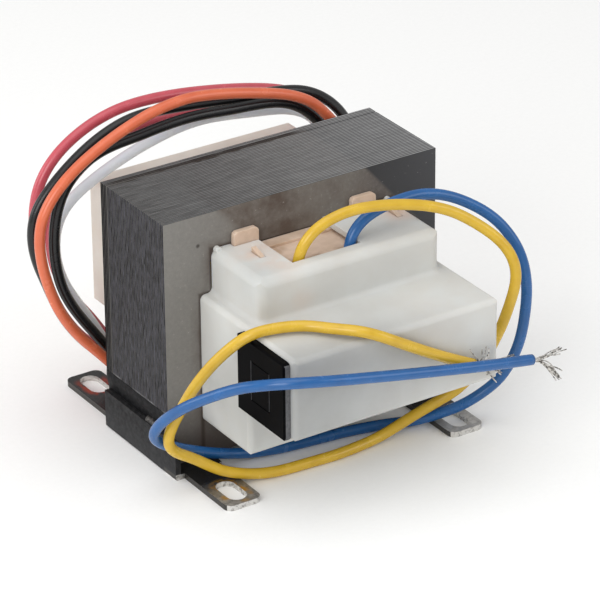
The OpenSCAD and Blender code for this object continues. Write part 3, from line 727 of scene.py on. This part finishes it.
@dataclass(frozen=True)
class VinylInsulation(Finish):
    """Extruded vinyl over stranded wire: satin gloss, with the twist of the strands just felt in it."""

    colour: str
    shadow: str
    specular: float = 0.5
    lay_mm: float = 9.0
    ridges: int = 4
    scuff_mm: float = 5.0

    def sockets(self, add: Add) -> Sockets:
        """Adds the pattern's nodes and returns the shader's inputs by name.

        The UV map runs once round the lead in U and in millimetres along it in V.
        """
        texture = add("TexCoord")
        around = add("SeparateXYZ", texture.outputs["UV"])
        u, v = around.outputs["X"], around.outputs["Y"]
        turns = add("Math.MULTIPLY_ADD", v, 1 / self.lay_mm, u)
        phase = add("Math.MULTIPLY", turns, self.ridges * math.tau)
        strand = add("Math.SINE", phase)
        size = per_metre(self.scuff_mm)
        scuff = add("TexNoise", {"Vector": texture.outputs["Object"], "Scale": size, "Detail": 5.0})
        colour = add("ValToRGB", {"Fac": scuff}, stops=((0.3, self.shadow), (0.62, self.colour)))
        rough = add("MapRange", {"Value": scuff, "To Min": 0.2, "To Max": 0.32})
        bump = add("Bump", {"Strength": 0.02, "Distance": 0.03 * MM, "Height": strand})
        return {
            "Base Color": colour, "Roughness": rough, "IOR": 1.53, "Normal": bump,
            "Specular IOR Level": self.specular, "Subsurface Weight": 0.08,
            "Subsurface Radius": (1.0, 0.7, 0.5), "Subsurface Scale": 0.6 * MM,
        }


@dataclass(frozen=True)
class BareMetal(Mottled):
    """Plain drawn or stamped metal with faint stains: tinned strands or brass blades."""

    cell_mm: float = 2.0
    roughness: float = 0.3
    metallic: float = 1.0


@dataclass(frozen=True)
class WoundWire(Finish):
    """Layers of enamelled copper wire, seen as level turns one on another, with painted shade between the
    turns.
    """

    wire_mm: float = 0.6

    def sockets(self, add: Add) -> Sockets:
        """Adds the pattern's nodes and returns the shader's inputs by name."""
        axes = add("SeparateXYZ", add("TexCoord").outputs["Object"])
        wires = math.tau * per_metre(self.wire_mm)
        turn = add("Math.MULTIPLY", axes.outputs["Z"], wires)
        wave = add("Math.SINE", turn)
        share = add("MapRange", {"Value": wave, "From Min": -1.0})
        # Painted shade between the turns of wire.
        colour = add("ValToRGB", {"Fac": share}, stops=((0.1, "4A2412"), (0.5, "A4552B")))
        bump = add("Bump", {"Strength": 0.8, "Distance": 0.2 * MM, "Height": share})
        return {"Base Color": colour, "Metallic": 0.8, "Roughness": 0.3, "Normal": bump}


@dataclass(frozen=True)
class PolyesterTape(Mottled):
    """Yellow polyester tape, thin and glossy, with soft creases."""

    cell_mm: float = 4.0
    detail: float = 3.0
    stops: Stops = ((0.4, "D6B94E"), (0.7, "B99A38"))
    roughness: float = 0.25
    relief: float = 0.3
    relief_mm: float = 0.1


@dataclass(frozen=True)
class StudioPaper(Mottled):
    """Pale seamless paper under the part, with a barely seen fibre."""

    cell_mm: float = 1.5
    detail: float = 2.0
    stops: Stops = ((0.2, "FAFAF9"), (0.8, "FDFDFC"))
    roughness: float = 0.9


def smooth_route(points: np.ndarray, step: float, soft: float) -> np.ndarray:
    """Runs a Catmull-Rom curve through the points, spaces it evenly and evens out its bends.

    Between two points b and c, with a before and d after, the curve is the cubic whose slopes at b and c
    are half of c - a and half of d - b. A bell-shaped mean along the curve then evens the bends, as a stiff
    cover does.

    Args:
        points: Route points as rows.
        step: Distance between the points returned, about.
        soft: Standard width of the mean.

    Returns:
        Points along the curve as rows.
    """
    ends = np.vstack([2 * points[0] - points[1], points, 2 * points[-1] - points[-2]])
    a, b, c, d = (ends[i : len(ends) - 3 + i, None] for i in range(4))
    t = np.linspace(0, 1, SPAN_POINTS, endpoint=False)[None, :, None]
    square, cube = 2 * a - 5 * b + 4 * c - d, 3 * b - a - 3 * c + d
    curve = 0.5 * (2 * b + (c - a) * t + square * t**2 + cube * t**3)
    curve = np.vstack([curve.reshape(-1, 3), points[-1:]])
    run = np.concatenate([[0.0], np.cumsum(np.linalg.norm(np.diff(curve, axis=0), axis=1))])
    even = np.linspace(0, run[-1], max(3, int(run[-1] / step)) + 1)
    spaced = np.stack([np.interp(even, run, curve[:, k]) for k in range(3)], axis=1)
    reach = int(MEAN_REACH * soft / step)
    weight = np.exp(-0.5 * (np.arange(-reach, reach + 1) * step / soft) ** 2)
    weight /= weight.sum()
    start = 2 * spaced[0] - spaced[reach:0:-1]
    stop = 2 * spaced[-1] - spaced[-2 : -reach - 2 : -1]
    longer = np.vstack([start, spaced, stop])
    return np.stack([np.convolve(longer[:, k], weight, "valid") for k in range(3)], axis=1)


def unit(vectors: np.ndarray) -> np.ndarray:
    """Scales vectors along the last axis to length one."""
    return vectors / np.linalg.norm(vectors, axis=-1, keepdims=True)


def carried_frames(paths: np.ndarray) -> tuple[np.ndarray, np.ndarray]:
    """Finds two directions across each path that don't twist along it.

    A first direction is taken square to each tangent. The angle by which it turns from one point to the
    next, apart from the path's own bend, is summed along the path and taken out again.

    Args:
        paths: Points of several paths, as paths by points by three.

    Returns:
        Two arrays of directions, square to the paths and to each other.
    """
    tangent = unit(np.gradient(paths, axis=1))
    guide = np.where(np.abs(tangent[..., 1:2]) < STEEP, [0.0, 1.0, 0.0], [1.0, 0.0, 0.0])
    first = unit(np.cross(tangent, guide))
    t0, t1 = tangent[:, :-1], tangent[:, 1:]
    axis = np.cross(t0, t1)
    bent = first[:, :-1] + np.cross(axis, first[:, :-1])
    bent += np.cross(axis, np.cross(axis, first[:, :-1])) / (1 + np.sum(t0 * t1, -1, keepdims=True))
    across = np.sum(np.cross(bent, first[:, 1:]) * t1, -1)
    turn = np.arctan2(across, np.sum(bent * first[:, 1:], -1))
    back = -np.concatenate([np.zeros((len(paths), 1)), np.cumsum(turn, axis=1)], axis=1)[..., None]
    second = np.cross(tangent, first)
    normal = np.cos(back) * first + np.sin(back) * second
    return normal, np.cross(tangent, normal)


def skin(name: str, points: np.ndarray) -> tuple[bpy.types.Object, int]:
    """Joins rows of closed rings into smooth skins and closes both ends of each.

    Args:
        name: Name of the piece.
        points: Points in metres, as skins by rings by points of a ring by three.

    Returns:
        The new object, and the number of corners of its end faces, which come last.
    """
    count, steps, sides, _ = points.shape
    ring = np.arange(count * steps * sides).reshape(count, steps, sides)
    nearer, further = ring[:, :-1], ring[:, 1:]
    around = np.roll(np.arange(sides), -1)
    quads = np.stack([nearer, nearer[..., around], further[..., around], further], -1).reshape(-1, 4)
    caps = np.concatenate([ring[:, 0, ::-1], ring[:, -1]])
    mesh = bpy.data.meshes.new(name)
    mesh.from_pydata(points.reshape(-1, 3).tolist(), [], quads.tolist() + caps.tolist())
    mesh.polygons.foreach_set("use_smooth", np.ones(len(mesh.polygons), bool))
    piece = bpy.data.objects.new(name, mesh)
    bpy.context.scene.collection.objects.link(piece)
    return piece, caps.size


def sweep_tubes(name: str, paths: np.ndarray, radius: float, sides: int) -> bpy.types.Object:
    """Carries a circle along each path and closes both ends.

    A point on ring i at angle q is path_i + radius (cos q first_i + sin q second_i).

    Args:
        name: Name of the piece.
        paths: Points in metres, as paths by points by three.
        radius: Radius in metres.
        sides: Number of sides of a ring.

    Returns:
        The new object, with a UV map that runs once round in U and in millimetres along in V.
    """
    count, steps, _ = paths.shape
    first, second = carried_frames(paths)
    angle = np.arange(sides) * math.tau / sides
    circle = np.cos(angle)[:, None] * first[:, :, None] + np.sin(angle)[:, None] * second[:, :, None]
    piece, cap_corners = skin(name, paths[:, :, None] + radius * circle)
    run = np.linalg.norm(np.diff(paths, axis=1), axis=2)
    along = np.concatenate([np.zeros((count, 1)), np.cumsum(run, axis=1)], axis=1) / MM
    quads = (count, steps - 1, sides)
    low = np.broadcast_to(along[:, :-1, None], quads)
    high = np.broadcast_to(along[:, 1:, None], quads)
    left = np.broadcast_to(np.arange(sides) / sides, quads)
    right = left + 1 / sides
    quad_uv = np.stack([left, low, right, low, right, high, left, high], -1).reshape(-1)
    cap_uv = np.zeros(cap_corners * 2)
    layer = piece.data.uv_layers.new(name="lead")
    layer.data.foreach_set("uv", np.concatenate([quad_uv, cap_uv]).astype(np.float32))
    return piece


def in_plane(y: float, *places: tuple[float, float]) -> tuple[Point, ...]:
    """Gives the points of an upright plane across the part, from their places to the side and up."""
    return tuple((x, y, z) for x, z in places)


class LeadColour(Enum):
    """Insulation colours, each with its clean and its scuffed hex value, and its specular level."""

    YELLOW = ("D4AE31", "C9A22A", 0.5)
    BLUE = ("1E5D9B", "1A5590", 0.5)
    ORANGE = ("D86D49", "CE6341", 0.5)
    BLACK = ("1B1B1D", "151516", 0.4)
    WHITE = ("F8FAFF", "F2F5FF", 0.5)
    RED = ("C75460", "BE4D58", 0.5)


@dataclass(frozen=True)
class Tuft:
    """Some of the strands of a stripped end, with how far their ends stray from the lead's own line."""

    strands: int
    stray: Point


@dataclass
class LeadWire:
    """One lead: its route from the outlet to the end of the insulation, and its stripped end."""

    name: str
    colour: LeadColour
    route: tuple[Point, ...]
    tufts: tuple[Tuft, ...]
    seed: int
    diameter: float = 3.0
    strip_length: float = 9.0
    shortest_share: float = 0.8
    tucked_in: float = 0.3
    bundle_radius: float = 0.55
    strand_radius: float = 0.16
    strand_points: int = 15
    strand_sides: int = 6
    twist_turns: float = 0.8
    stray_spread: Point = (0.55, 0.275, 0.55)
    wave_size: float = 0.26
    wave_radians: tuple[float, float] = (4.0, 9.0)
    ring_step: float = 1.0
    softness: float = 2.5
    sides: int = 20

    def path(self, frame: PartFrame) -> np.ndarray:
        """Gives the lead's centre line.

        Args:
            frame: Where the stack lies.

        Returns:
            Points in metres as rows.
        """
        return frame.metres(smooth_route(np.array(self.route, float), self.ring_step, self.softness))

    def strand_paths(self, frame: PartFrame) -> np.ndarray:
        """Lays out the strands of the stripped end.

        A strand starts in the bundle at radius r and angle q. At the share s of its length it lies on the
        lead's line at s times the length, q turns by the twist as it leaves the bundle, and it strays by s
        squared.

        Args:
            frame: Where the stack lies.

        Returns:
            Points in metres, as strands by points by three.
        """
        rng = np.random.default_rng(self.seed)
        count = sum(t.strands for t in self.tufts)
        stray = np.repeat([t.stray for t in self.tufts], [t.strands for t in self.tufts], axis=0)
        stray = stray + rng.normal(0, self.stray_spread, (count, 3))
        end = np.array(self.route[-1])
        along = unit(end - np.array(self.route[-2]))
        across = unit(np.cross(along, [0.0, 0.0, 1.0]))
        upward = np.cross(across, along)
        share = np.linspace(0, 1, self.strand_points)[None, :, None]
        reach = (self.strip_length * rng.uniform(self.shortest_share, 1.0, count))[:, None, None]
        angle = rng.uniform(0, math.tau, count)[:, None, None] + math.tau * self.twist_turns * share
        radius = self.bundle_radius * np.sqrt(rng.uniform(0, 1, count))[:, None, None]
        spiral = radius * (np.cos(angle) * across + np.sin(angle) * upward)
        size = rng.normal(0, self.wave_size, (count, 1, 3))
        wave = size * np.sin(share * rng.uniform(*self.wave_radians, (count, 1, 1)))
        line = end + along * (reach * share - self.tucked_in)
        return frame.metres(line + spiral + stray[:, None] * share**2 + wave * share)

    def build(self, frame: PartFrame, strand_finish: bpy.types.Material) -> None:
        """Makes the lead and its stripped end, gives them their finishes, hangs them on the body and hides
        the part's own lead and strands.

        Args:
            frame: Where the stack lies.
            strand_finish: Material of the strands.
        """
        path = self.path(frame)
        tube = sweep_tubes(f"{self.name}_insulation", path[None], self.diameter / 2 * MM, self.sides)
        tube.data.materials.append(VinylInsulation(f"{self.name} vinyl", *self.colour.value).build())
        strands = sweep_tubes(
            f"{self.name}_bare_strands", self.strand_paths(frame), self.strand_radius * MM,
            self.strand_sides,
        )
        strands.data.materials.append(strand_finish)
        for piece, node, slot in (
            (tube, f"{self.name}_lead", f"{self.name}_insulation"),
            (strands, f"{self.name}_strands", "tinned_strands"),
        ):
            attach(piece, BODY)
            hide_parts(node)


HIDDEN_END = (Tuft(19, (0.3, 0.0, 0.2)),)

COVER_TINTS_SHADE_AND_LIGHT = (
    # Warm tints where the bobbin shows through the translucent cover.
    TintedSpot((-18.0, -28.0, 62.4), 13.0, 1.0),
    TintedSpot((23.6, -25.0, 62.4), 8.0, 0.8),
    TintedSpot((-15.0, -34.0, 54.0), 7.5, 0.85),
    # Painted shade: grey spots that darken the cover's faces where shade falls on them.
    TintedSpot((14.0, -33.0, 56.0), 16.0, 0.35, "B2B4B2", patchiness=0.3),
    TintedSpot((-27.0, -61.0, 36.0), 60.0, 0.6, "787A7C", flattened=4.0, patchiness=0.15),
    TintedSpot((-4.0, -48.0, 49.9), 22.0, 0.45, "B0B2B0", patchiness=0.3),
    TintedSpot((-32.0, -44.0, 27.0), 34.0, 0.6, "9EA09E", patchiness=0.15),
    TintedSpot((-28.4, -34.0, 61.0), 14.0, 0.55, "AEB0AE", patchiness=0.15),
    # Painted light: a pale spot that lifts the low left side of the wide block.
    TintedSpot((-32.0, -19.0, 16.0), 12.0, 0.8, "F4F5F2", patchiness=0.3),
)

# Darker brown spots along the front of the bobbin's deck.
DARKER_DECK_SPOTS = (
    TintedSpot((-13.0, -30.5, 59.4), 6.0, 0.9, "8A6A50"),
    TintedSpot((-4.0, -32.0, 59.4), 6.0, 0.9, "7F6049"),
    TintedSpot((5.0, -32.0, 59.4), 6.0, 0.9, "7F6049"),
    TintedSpot((-12.5, -21.0, 59.8), 5.0, 0.7, "9A7A5C"),
)

LEADS = (
    LeadWire(
        "yellow", LeadColour.YELLOW,
        (
            (-12, -32, 56), (-12, -32, 61), (-10.5, -32.8, 66), (-6, -33.5, 70.2), (2, -34.5, 72.6),
            (10.5, -35.5, 72.4), (17.5, -37, 71.5), (23.5, -39, 70.4), (31, -41, 67.4), (38, -44, 62.4),
            (42.8, -47, 57.6), (45.5, -49, 52), (45.5, -50, 46.6), (43.5, -50, 40.5), (41.5, -49, 33.5),
            (38.5, -45, 22.5), (35, -39, 12.5), (29.5, -35.5, 8), (22.5, -34, 4.9), (12, -34, 2),
            (-1, -35, 1.6), (-11, -34.5, 1.6), (-20, -34, 1.7), (-27.5, -32.4, 2.5), (-34.8, -29.4, 4.4),
            (-41.6, -26.6, 9), (-47.2, -26.4, 12.4), (-49.8, -27.2, 16), (-49.6, -28.4, 20.6),
            (-47.6, -30, 26), (-44.8, -33, 34), (-41.5, -37, 41.5), (-38, -41, 47.4), (-34.2, -44, 51.2),
            (-27, -46, 51.9), (-20, -49, 51.8), (-16, -54.2, 52), (-12, -59, 52.4), (-7.6, -62, 51.2),
            (-1.6, -63.2, 47.8), (9, -63, 41.4), (17, -63, 37), (22.5, -63, 34.2),
        ),
        (
            Tuft(3, (-7.0, 0.0, 7.0)), Tuft(3, (-2.6, 0.0, 6.8)), Tuft(3, (-1.0, 0.0, 4.8)),
            Tuft(3, (-1.6, 0.0, -1.0)), Tuft(4, (2.0, 0.0, -2.0)), Tuft(2, (-0.4, 0.0, -3.8)),
            Tuft(2, (5.8, 0.0, 2.2)),
        ),
        seed=11,
    ),
    LeadWire(
        "blue", LeadColour.BLUE,
        (
            (4, -32, 56), (4, -32, 61), (5.8, -31.8, 65), (10.5, -31.5, 68), (18.5, -31, 69.4),
            (26.5, -31, 69.6), (33.5, -31.5, 68), (40, -33, 65), (46.5, -36, 60.4), (50.5, -39, 55.2),
            (53, -42, 48.5), (53.5, -44, 39.5), (52.3, -44, 27.5), (50.5, -43, 20), (47.5, -41, 13),
            (43.5, -38.5, 8.5), (38, -36.4, 5.2), (31.5, -34.5, 3.6), (25.5, -31.5, 1.9), (19, -28.5, 1.6),
            (8, -26, 1.6), (-5, -24.6, 1.6), (-15, -23.4, 1.8), (-25.6, -22.6, 3.5), (-37, -22.6, 7.6),
            (-44.2, -23, 11.2), (-50, -23.6, 14.8), (-53.2, -25.6, 19), (-53, -30.4, 25.2),
            (-50.6, -38, 32.2), (-46.6, -46, 38), (-42.8, -53, 42.2), (-38.8, -59.6, 44.8),
            (-33, -64.5, 45.8), (-23.5, -66.6, 44.6), (-10.5, -67, 42), (-3, -67, 40.4),
            (16.5, -66.5, 36.2), (28, -66, 33.8), (40, -65, 31.2),
        ),
        (Tuft(6, (3.2, 0.0, 1.4)), Tuft(14, (0.3, -2.0, -4.8))), seed=5,
    ),
    LeadWire(
        "orange", LeadColour.ORANGE,
        (
            *in_plane(
                21.8,
                (-12, 16.4), (-12, 12), (-13.2, 7.6), (-16.4, 4.4), (-21, 3.2), (-27, 5), (-34, 10.5),
                (-41.5, 19), (-48, 26.5), (-53.5, 35.5), (-57, 45.5), (-58.5, 53.5), (-58.5, 59.5),
                (-57, 65), (-52.5, 71), (-45.5, 76.5), (-37, 81), (-29, 84.2), (-21.5, 86.4),
                (-12.5, 87.4), (-6.5, 86.9), (1.5, 85.5), (9.5, 83.6), (17.5, 81.4), (23.5, 79),
                (28.8, 75.6), (32.6, 71.4), (37.5, 65), (42, 56), (45, 44), (44, 29), (38, 16), (28, 8),
                (14, 5),
            ),
        ),
        HIDDEN_END, seed=2,
    ),
    LeadWire(
        "black", LeadColour.BLACK,
        (
            *in_plane(
                24.9,
                (-7, 16.4), (-7, 12), (-8.2, 7.6), (-11.4, 4.4), (-16, 3.2), (-22, 4.4), (-29, 9),
                (-36, 16.5), (-42, 25), (-47, 32.5), (-50.4, 39.5), (-52, 46), (-52.6, 53), (-52, 60),
                (-50.5, 65.5), (-48, 70), (-44, 74), (-38, 77), (-31.5, 78.2), (-26, 78.6), (-19, 79.5),
                (-11, 80), (-4.5, 79.8), (3.5, 79), (10, 78.6), (16.5, 77.9), (21.5, 76.6), (25.6, 74.4),
                (29.6, 71), (34.5, 65), (39, 57), (42.5, 46), (41, 30), (36, 15),
            ),
            (26, 25.2, 7.5), (10, 26.4, 5),
            *in_plane(
                28,
                (-4, 4.6), (-18, 5), (-30, 9.6), (-38.5, 16), (-44.8, 23), (-50, 31.5), (-54, 42),
                (-56.2, 48), (-57.4, 54.5), (-57, 60), (-55, 64.6), (-50.5, 69.4), (-45, 74), (-38, 78.5),
                (-30, 81.8), (-23, 83), (-16, 82.8), (-9, 82.2), (-2.5, 81.5), (5.5, 80.5), (12, 79.8),
                (20, 79.2), (28, 77.6), (33.5, 75), (38, 71.5), (41.5, 67.5), (45, 61), (47.8, 52),
                (48.4, 40), (46, 27),
            ),
        ),
        HIDDEN_END, seed=3,
    ),
    LeadWire(
        "white", LeadColour.WHITE,
        (
            *in_plane(
                31.1,
                (-2, 16.4), (-2, 12), (-3.2, 7.6), (-6.4, 4.4), (-11, 3.2), (-20, 4.4), (-29, 9.4),
                (-34.4, 16.4), (-38, 23), (-42.5, 30.5), (-46.4, 37.5), (-48.5, 44), (-49, 49.5),
                (-48.4, 54.6), (-46.4, 59), (-43, 62.4), (-38, 65.4), (-31, 68.6), (-23, 71.5),
                (-15, 73.6), (-8.5, 74.8), (-1, 75.2), (7, 74.4), (13, 73.5), (19, 72.7), (25, 71.6),
                (30, 69.6), (34.2, 66.4), (39, 58), (42, 46), (41, 32), (37.5, 17), (28, 8), (15, 5.5),
            ),
        ),
        HIDDEN_END, seed=7,
    ),
    LeadWire(
        "red", LeadColour.RED,
        (
            *in_plane(
                34.2,
                (3, 16.4), (3, 12), (1.8, 7.6), (-1.4, 4.4), (-6, 3.2), (-11, 3), (-19, 4.6),
                (-28.5, 10.5), (-33.5, 18), (-37.4, 24), (-42.5, 31), (-46.4, 38.5), (-48.2, 45.5),
                (-48.4, 51.5), (-47, 57.5), (-44, 63.5), (-38.8, 68.8), (-32, 72.6), (-26, 75),
                (-19.5, 76.6), (-13.5, 76.9), (-7, 76.6), (1, 76.2), (9, 75.6), (17, 74.9), (23, 74),
                (28.5, 72.6), (33.5, 70.2), (38, 66), (42, 58), (44.4, 45), (41.5, 29), (36.5, 15),
            ),
            (27, 34.4, 7.5), (13, 35.6, 5),
            *in_plane(
                37.4,
                (-4, 4.6), (-18, 5), (-29.5, 9.4), (-36, 14), (-41, 20), (-45.5, 28), (-48.8, 37.5),
                (-50.6, 46.5), (-51.6, 53), (-51.2, 60), (-48.8, 67), (-43.4, 73.4), (-35, 78.5),
                (-25.5, 81.4), (-16, 82), (-6.5, 81.4), (0.5, 80.5), (9.5, 79), (19.5, 76.8),
                (27.5, 74.4), (33.5, 71.5), (38.5, 67.5), (42, 63.5), (45.5, 55), (46.5, 43), (45, 29),
            ),
        ),
        HIDDEN_END, seed=9,
    ),
)


@dataclass
class VarnishRun:
    """Varnish that ran down one side of the core and dried as a smooth film above the foot."""

    name: str
    foot: str
    side: int
    top_mm: float = 17.2
    film_mm: float = 0.08
    top_share: float = 0.2
    wave_mm: float = 0.03
    wave_length_mm: float = 7.0
    rings: int = 45
    heights: int = 25

    def outlines(self) -> np.ndarray:
        """Works out the film's closed outline at each place from front to rear.

        Going up, the outer line lies off the I stack's side by the film's thickness, and swells out by 3s
        squared less 2s cubed, which fills the corner under the E stack. Up the E stack's side it thins by s
        squared. A low sine wave runs along the core. The inner line follows the two stacks.

        Returns:
            Points in metres, as outlines by points by three.
        """
        e_low, e_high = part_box("e_laminations")
        i_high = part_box("i_laminations")[1]
        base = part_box(self.foot)[1].z
        top = self.top_mm * MM
        height = np.linspace(top, base, self.heights)
        rise = np.clip((height - base) / (i_high.z - base), 0, 1)
        above = np.clip((height - i_high.z) / (top - i_high.z), 0, 1)
        film = self.film_mm * MM * (1 - (1 - self.top_share) * above**2)
        outer = i_high.x + (e_high.x - i_high.x) * (3 * rise**2 - 2 * rise**3) + film
        along = np.linspace(e_low.y, e_high.y, self.rings)[:, None]
        wave = self.wave_mm * MM * np.sin(math.tau * along * per_metre(self.wave_length_mm)) * (1 - above)
        inner = np.broadcast_to([i_high.x, i_high.x, e_high.x, e_high.x], (self.rings, 4))
        out = self.side * np.concatenate([outer + wave, inner], axis=1)
        up = np.concatenate([height, [base, i_high.z, i_high.z, top]])
        points = np.stack(np.broadcast_arrays(out, along, up), -1)
        return points[:, :: self.side]

    def build(self, finish: bpy.types.Material) -> None:
        """Makes the film and dresses it.

        Args:
            finish: Material of the film.
        """
        piece, _ = skin(self.name, self.outlines()[None])
        piece.data.materials.append(finish)
        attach(piece, BODY)
        LOG.info("%s: %s", self.name, finish.name)


@dataclass
class SolidPieces:
    """The core, feet, bobbin, windings, covers and breaker, which keep their solids and get finishes."""

    frame: PartFrame
    nodes: dict[str, bpy.types.Object]
    soft_edge_mm: dict[str, float] = field(
        default_factory=lambda: {
            "left_foot_bracket": 0.25, "right_foot_bracket": 0.25, "bobbin": 0.3, "overload_breaker": 0.12,
        }
    )
    same_point_m: float = 1e-6
    bevel_steps: int = 2
    sharp_deg: float = 40.0

    def dress(self, material: bpy.types.Material, *names: str) -> None:
        """Gives nodes their only material.

        Args:
            material: The finish.
            names: Names of the nodes.
        """
        for name in names:
            data = self.nodes[name].data
            data.materials.clear()
            data.materials.append(material)
            LOG.info("%s: %s", name, material.name)

    def soften(self) -> None:
        """Rounds the sharp edges of the folded and moulded pieces a little, as tools leave them."""
        for name, width in self.soft_edge_mm.items():
            node = self.nodes[name]
            weld = node.modifiers.new("joined triangles", "WELD")
            weld.merge_threshold = self.same_point_m
            bevel = node.modifiers.new("soft edges", "BEVEL")
            bevel.width = width * MM
            bevel.segments = self.bevel_steps
            bevel.limit_method = "ANGLE"
            bevel.angle_limit = math.radians(self.sharp_deg)
            bevel.harden_normals = False

    def build(self) -> None:
        """Makes the finishes and hands them out."""
        steel = SheetSteel("varnished silicon steel", self.frame)
        self.dress(steel.build(), "e_laminations", "i_laminations")
        feet = FootSteel("black varnished sheet steel", self.frame)
        self.dress(feet.build(), "left_foot_bracket", "right_foot_bracket")
        self.dress(WeldBead("fused weld steel").build(), "bracket_welds")
        natural = MouldedNylon("natural nylon", self.frame, "D1D2CF", "CCCAC5", tinted_spots=COVER_TINTS_SHADE_AND_LIGHT)
        beige = MouldedNylon("beige nylon", self.frame, "E5E1D7", "DAD3C7")
        former = MouldedNylon(
            "bobbin nylon", self.frame, "D6BEAB", "C7AE98", tinted_spots=DARKER_DECK_SPOTS, cloud_mm=4.0
        )
        self.dress(natural.build(), "front_cover")
        self.dress(beige.build(), "rear_cover")
        self.dress(former.build(), "bobbin")
        self.dress(BlackMoulding("black phenolic").build(), "overload_breaker")
        self.dress(WoundWire("enamelled copper wire").build(), "primary_winding", "secondary_winding")
        self.dress(PolyesterTape("yellow polyester tape").build(), "primary_wrap", "secondary_wrap")
        brass = BareMetal("stamped brass", stops=((0.45, "C9A75A"), (0.62, "9A7C3C")))
        self.dress(brass.build(), "breaker_terminals")
        self.soften()


@dataclass(frozen=True)
class SoftBox:
    """A square soft box: its place and the length of its side in metres, and its power in watts."""

    name: str
    place_m: Point
    side_m: float
    watts: float


@dataclass
class Studio:
    """Pale floor, soft light from all sides and a camera at the photograph's viewing angle."""

    frame: PartFrame
    azimuth_deg: float = -32.80
    elevation_deg: float = 27.09
    roll_deg: float = -0.49
    eye_mm: Point = (-501.66, -792.92, 512.52)
    lens_mm: float = 233.22
    sensor_mm: float = 36.0
    clip_m: tuple[float, float] = (0.05, 50.0)
    floor_half_m: float = 6.0
    surroundings: float = 0.56
    aim_m: Point = (0.0, 0.0, 0.04)
    boxes: tuple[SoftBox, ...] = (
        SoftBox("overhead box", (-0.15, -0.1, 0.9), 0.9, 3.3),
        SoftBox("left box", (-0.9, -0.55, 0.55), 0.6, 5.0),
        SoftBox("right box", (0.75, -0.8, 0.6), 0.6, 2.2),
        SoftBox("rear left box", (-0.75, 0.55, 0.35), 0.5, 1.8),
    )

    def camera(self) -> None:
        """Makes the camera and turns it as the photograph was taken."""
        turn = math.radians(self.azimuth_deg)
        rise = math.radians(self.elevation_deg)
        back = Vector((math.sin(turn) * math.cos(rise), -math.cos(turn) * math.cos(rise), math.sin(rise)))
        right = Vector((math.cos(turn), math.sin(turn), 0.0))
        axes = Matrix((right, back.cross(right), back)).transposed()
        roll = Matrix.Rotation(math.radians(self.roll_deg), 3, "Z")
        data = bpy.data.cameras.new("photo camera")
        data.lens = self.lens_mm
        data.sensor_width = self.sensor_mm
        data.clip_start, data.clip_end = self.clip_m
        camera = bpy.data.objects.new("photo_camera", data)
        bpy.context.scene.collection.objects.link(camera)
        camera.matrix_world = Matrix.LocRotScale(Vector(self.frame.metres(self.eye_mm)), axes @ roll, None)
        bpy.context.scene.camera = camera

    def floor(self) -> None:
        """Lays the paper just under the feet."""
        h = self.floor_half_m
        mesh = bpy.data.meshes.new("paper")
        mesh.from_pydata([(-h, -h, 0), (h, -h, 0), (h, h, 0), (-h, h, 0)], [], [(0, 1, 2, 3)])
        mesh.materials.append(StudioPaper("pale studio paper").build())
        paper = bpy.data.objects.new("paper", mesh)
        bpy.context.scene.collection.objects.link(paper)

    def light(self) -> None:
        """Sets the pale surroundings and hangs the soft boxes, each facing the part."""
        world = bpy.data.worlds.new("studio")
        world.use_nodes = True
        background = world.node_tree.nodes["Background"]
        background.inputs["Color"].default_value = (1.0, 1.0, 1.0, 1.0)
        background.inputs["Strength"].default_value = self.surroundings
        bpy.context.scene.world = world
        for box in self.boxes:
            data = bpy.data.lights.new(box.name, "AREA")
            data.size = box.side_m
            data.energy = box.watts
            lamp = bpy.data.objects.new(box.name, data)
            bpy.context.scene.collection.objects.link(lamp)
            place = Vector(box.place_m)
            facing = (Vector(self.aim_m) - place).to_track_quat("-Z", "Y")
            lamp.matrix_world = Matrix.LocRotScale(place, facing, None)
        bpy.context.scene.view_settings.view_transform = "Standard"

    def build(self) -> None:
        """Makes the camera, the floor and the lights."""
        self.camera()
        self.floor()
        self.light()


def main() -> None:
    """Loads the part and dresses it."""
    logging.basicConfig(level=logging.INFO, format="%(message)s")
    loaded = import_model()
    low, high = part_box("e_laminations")
    frame = PartFrame(middle_y_m=(low.y + high.y) / 2)
    Studio(frame).build()
    SolidPieces(frame, loaded["nodes"]).build()
    varnish = DippingVarnish("black dipping varnish").build()
    for run in (
        VarnishRun("left_varnish_run", "left_foot_bracket", -1),
        VarnishRun("right_varnish_run", "right_foot_bracket", 1),
    ):
        run.build(varnish)
    tinned = BareMetal(
        "tinned copper strands", stops=((0.45, "D6D2CC"), (0.62, "55514C")), roughness=0.35, metallic=0.7,
        cell_mm=0.8,
    )
    strand_finish = tinned.build()
    for lead in LEADS:
        lead.build(frame, strand_finish)


if __name__ == "__main__":
    main()
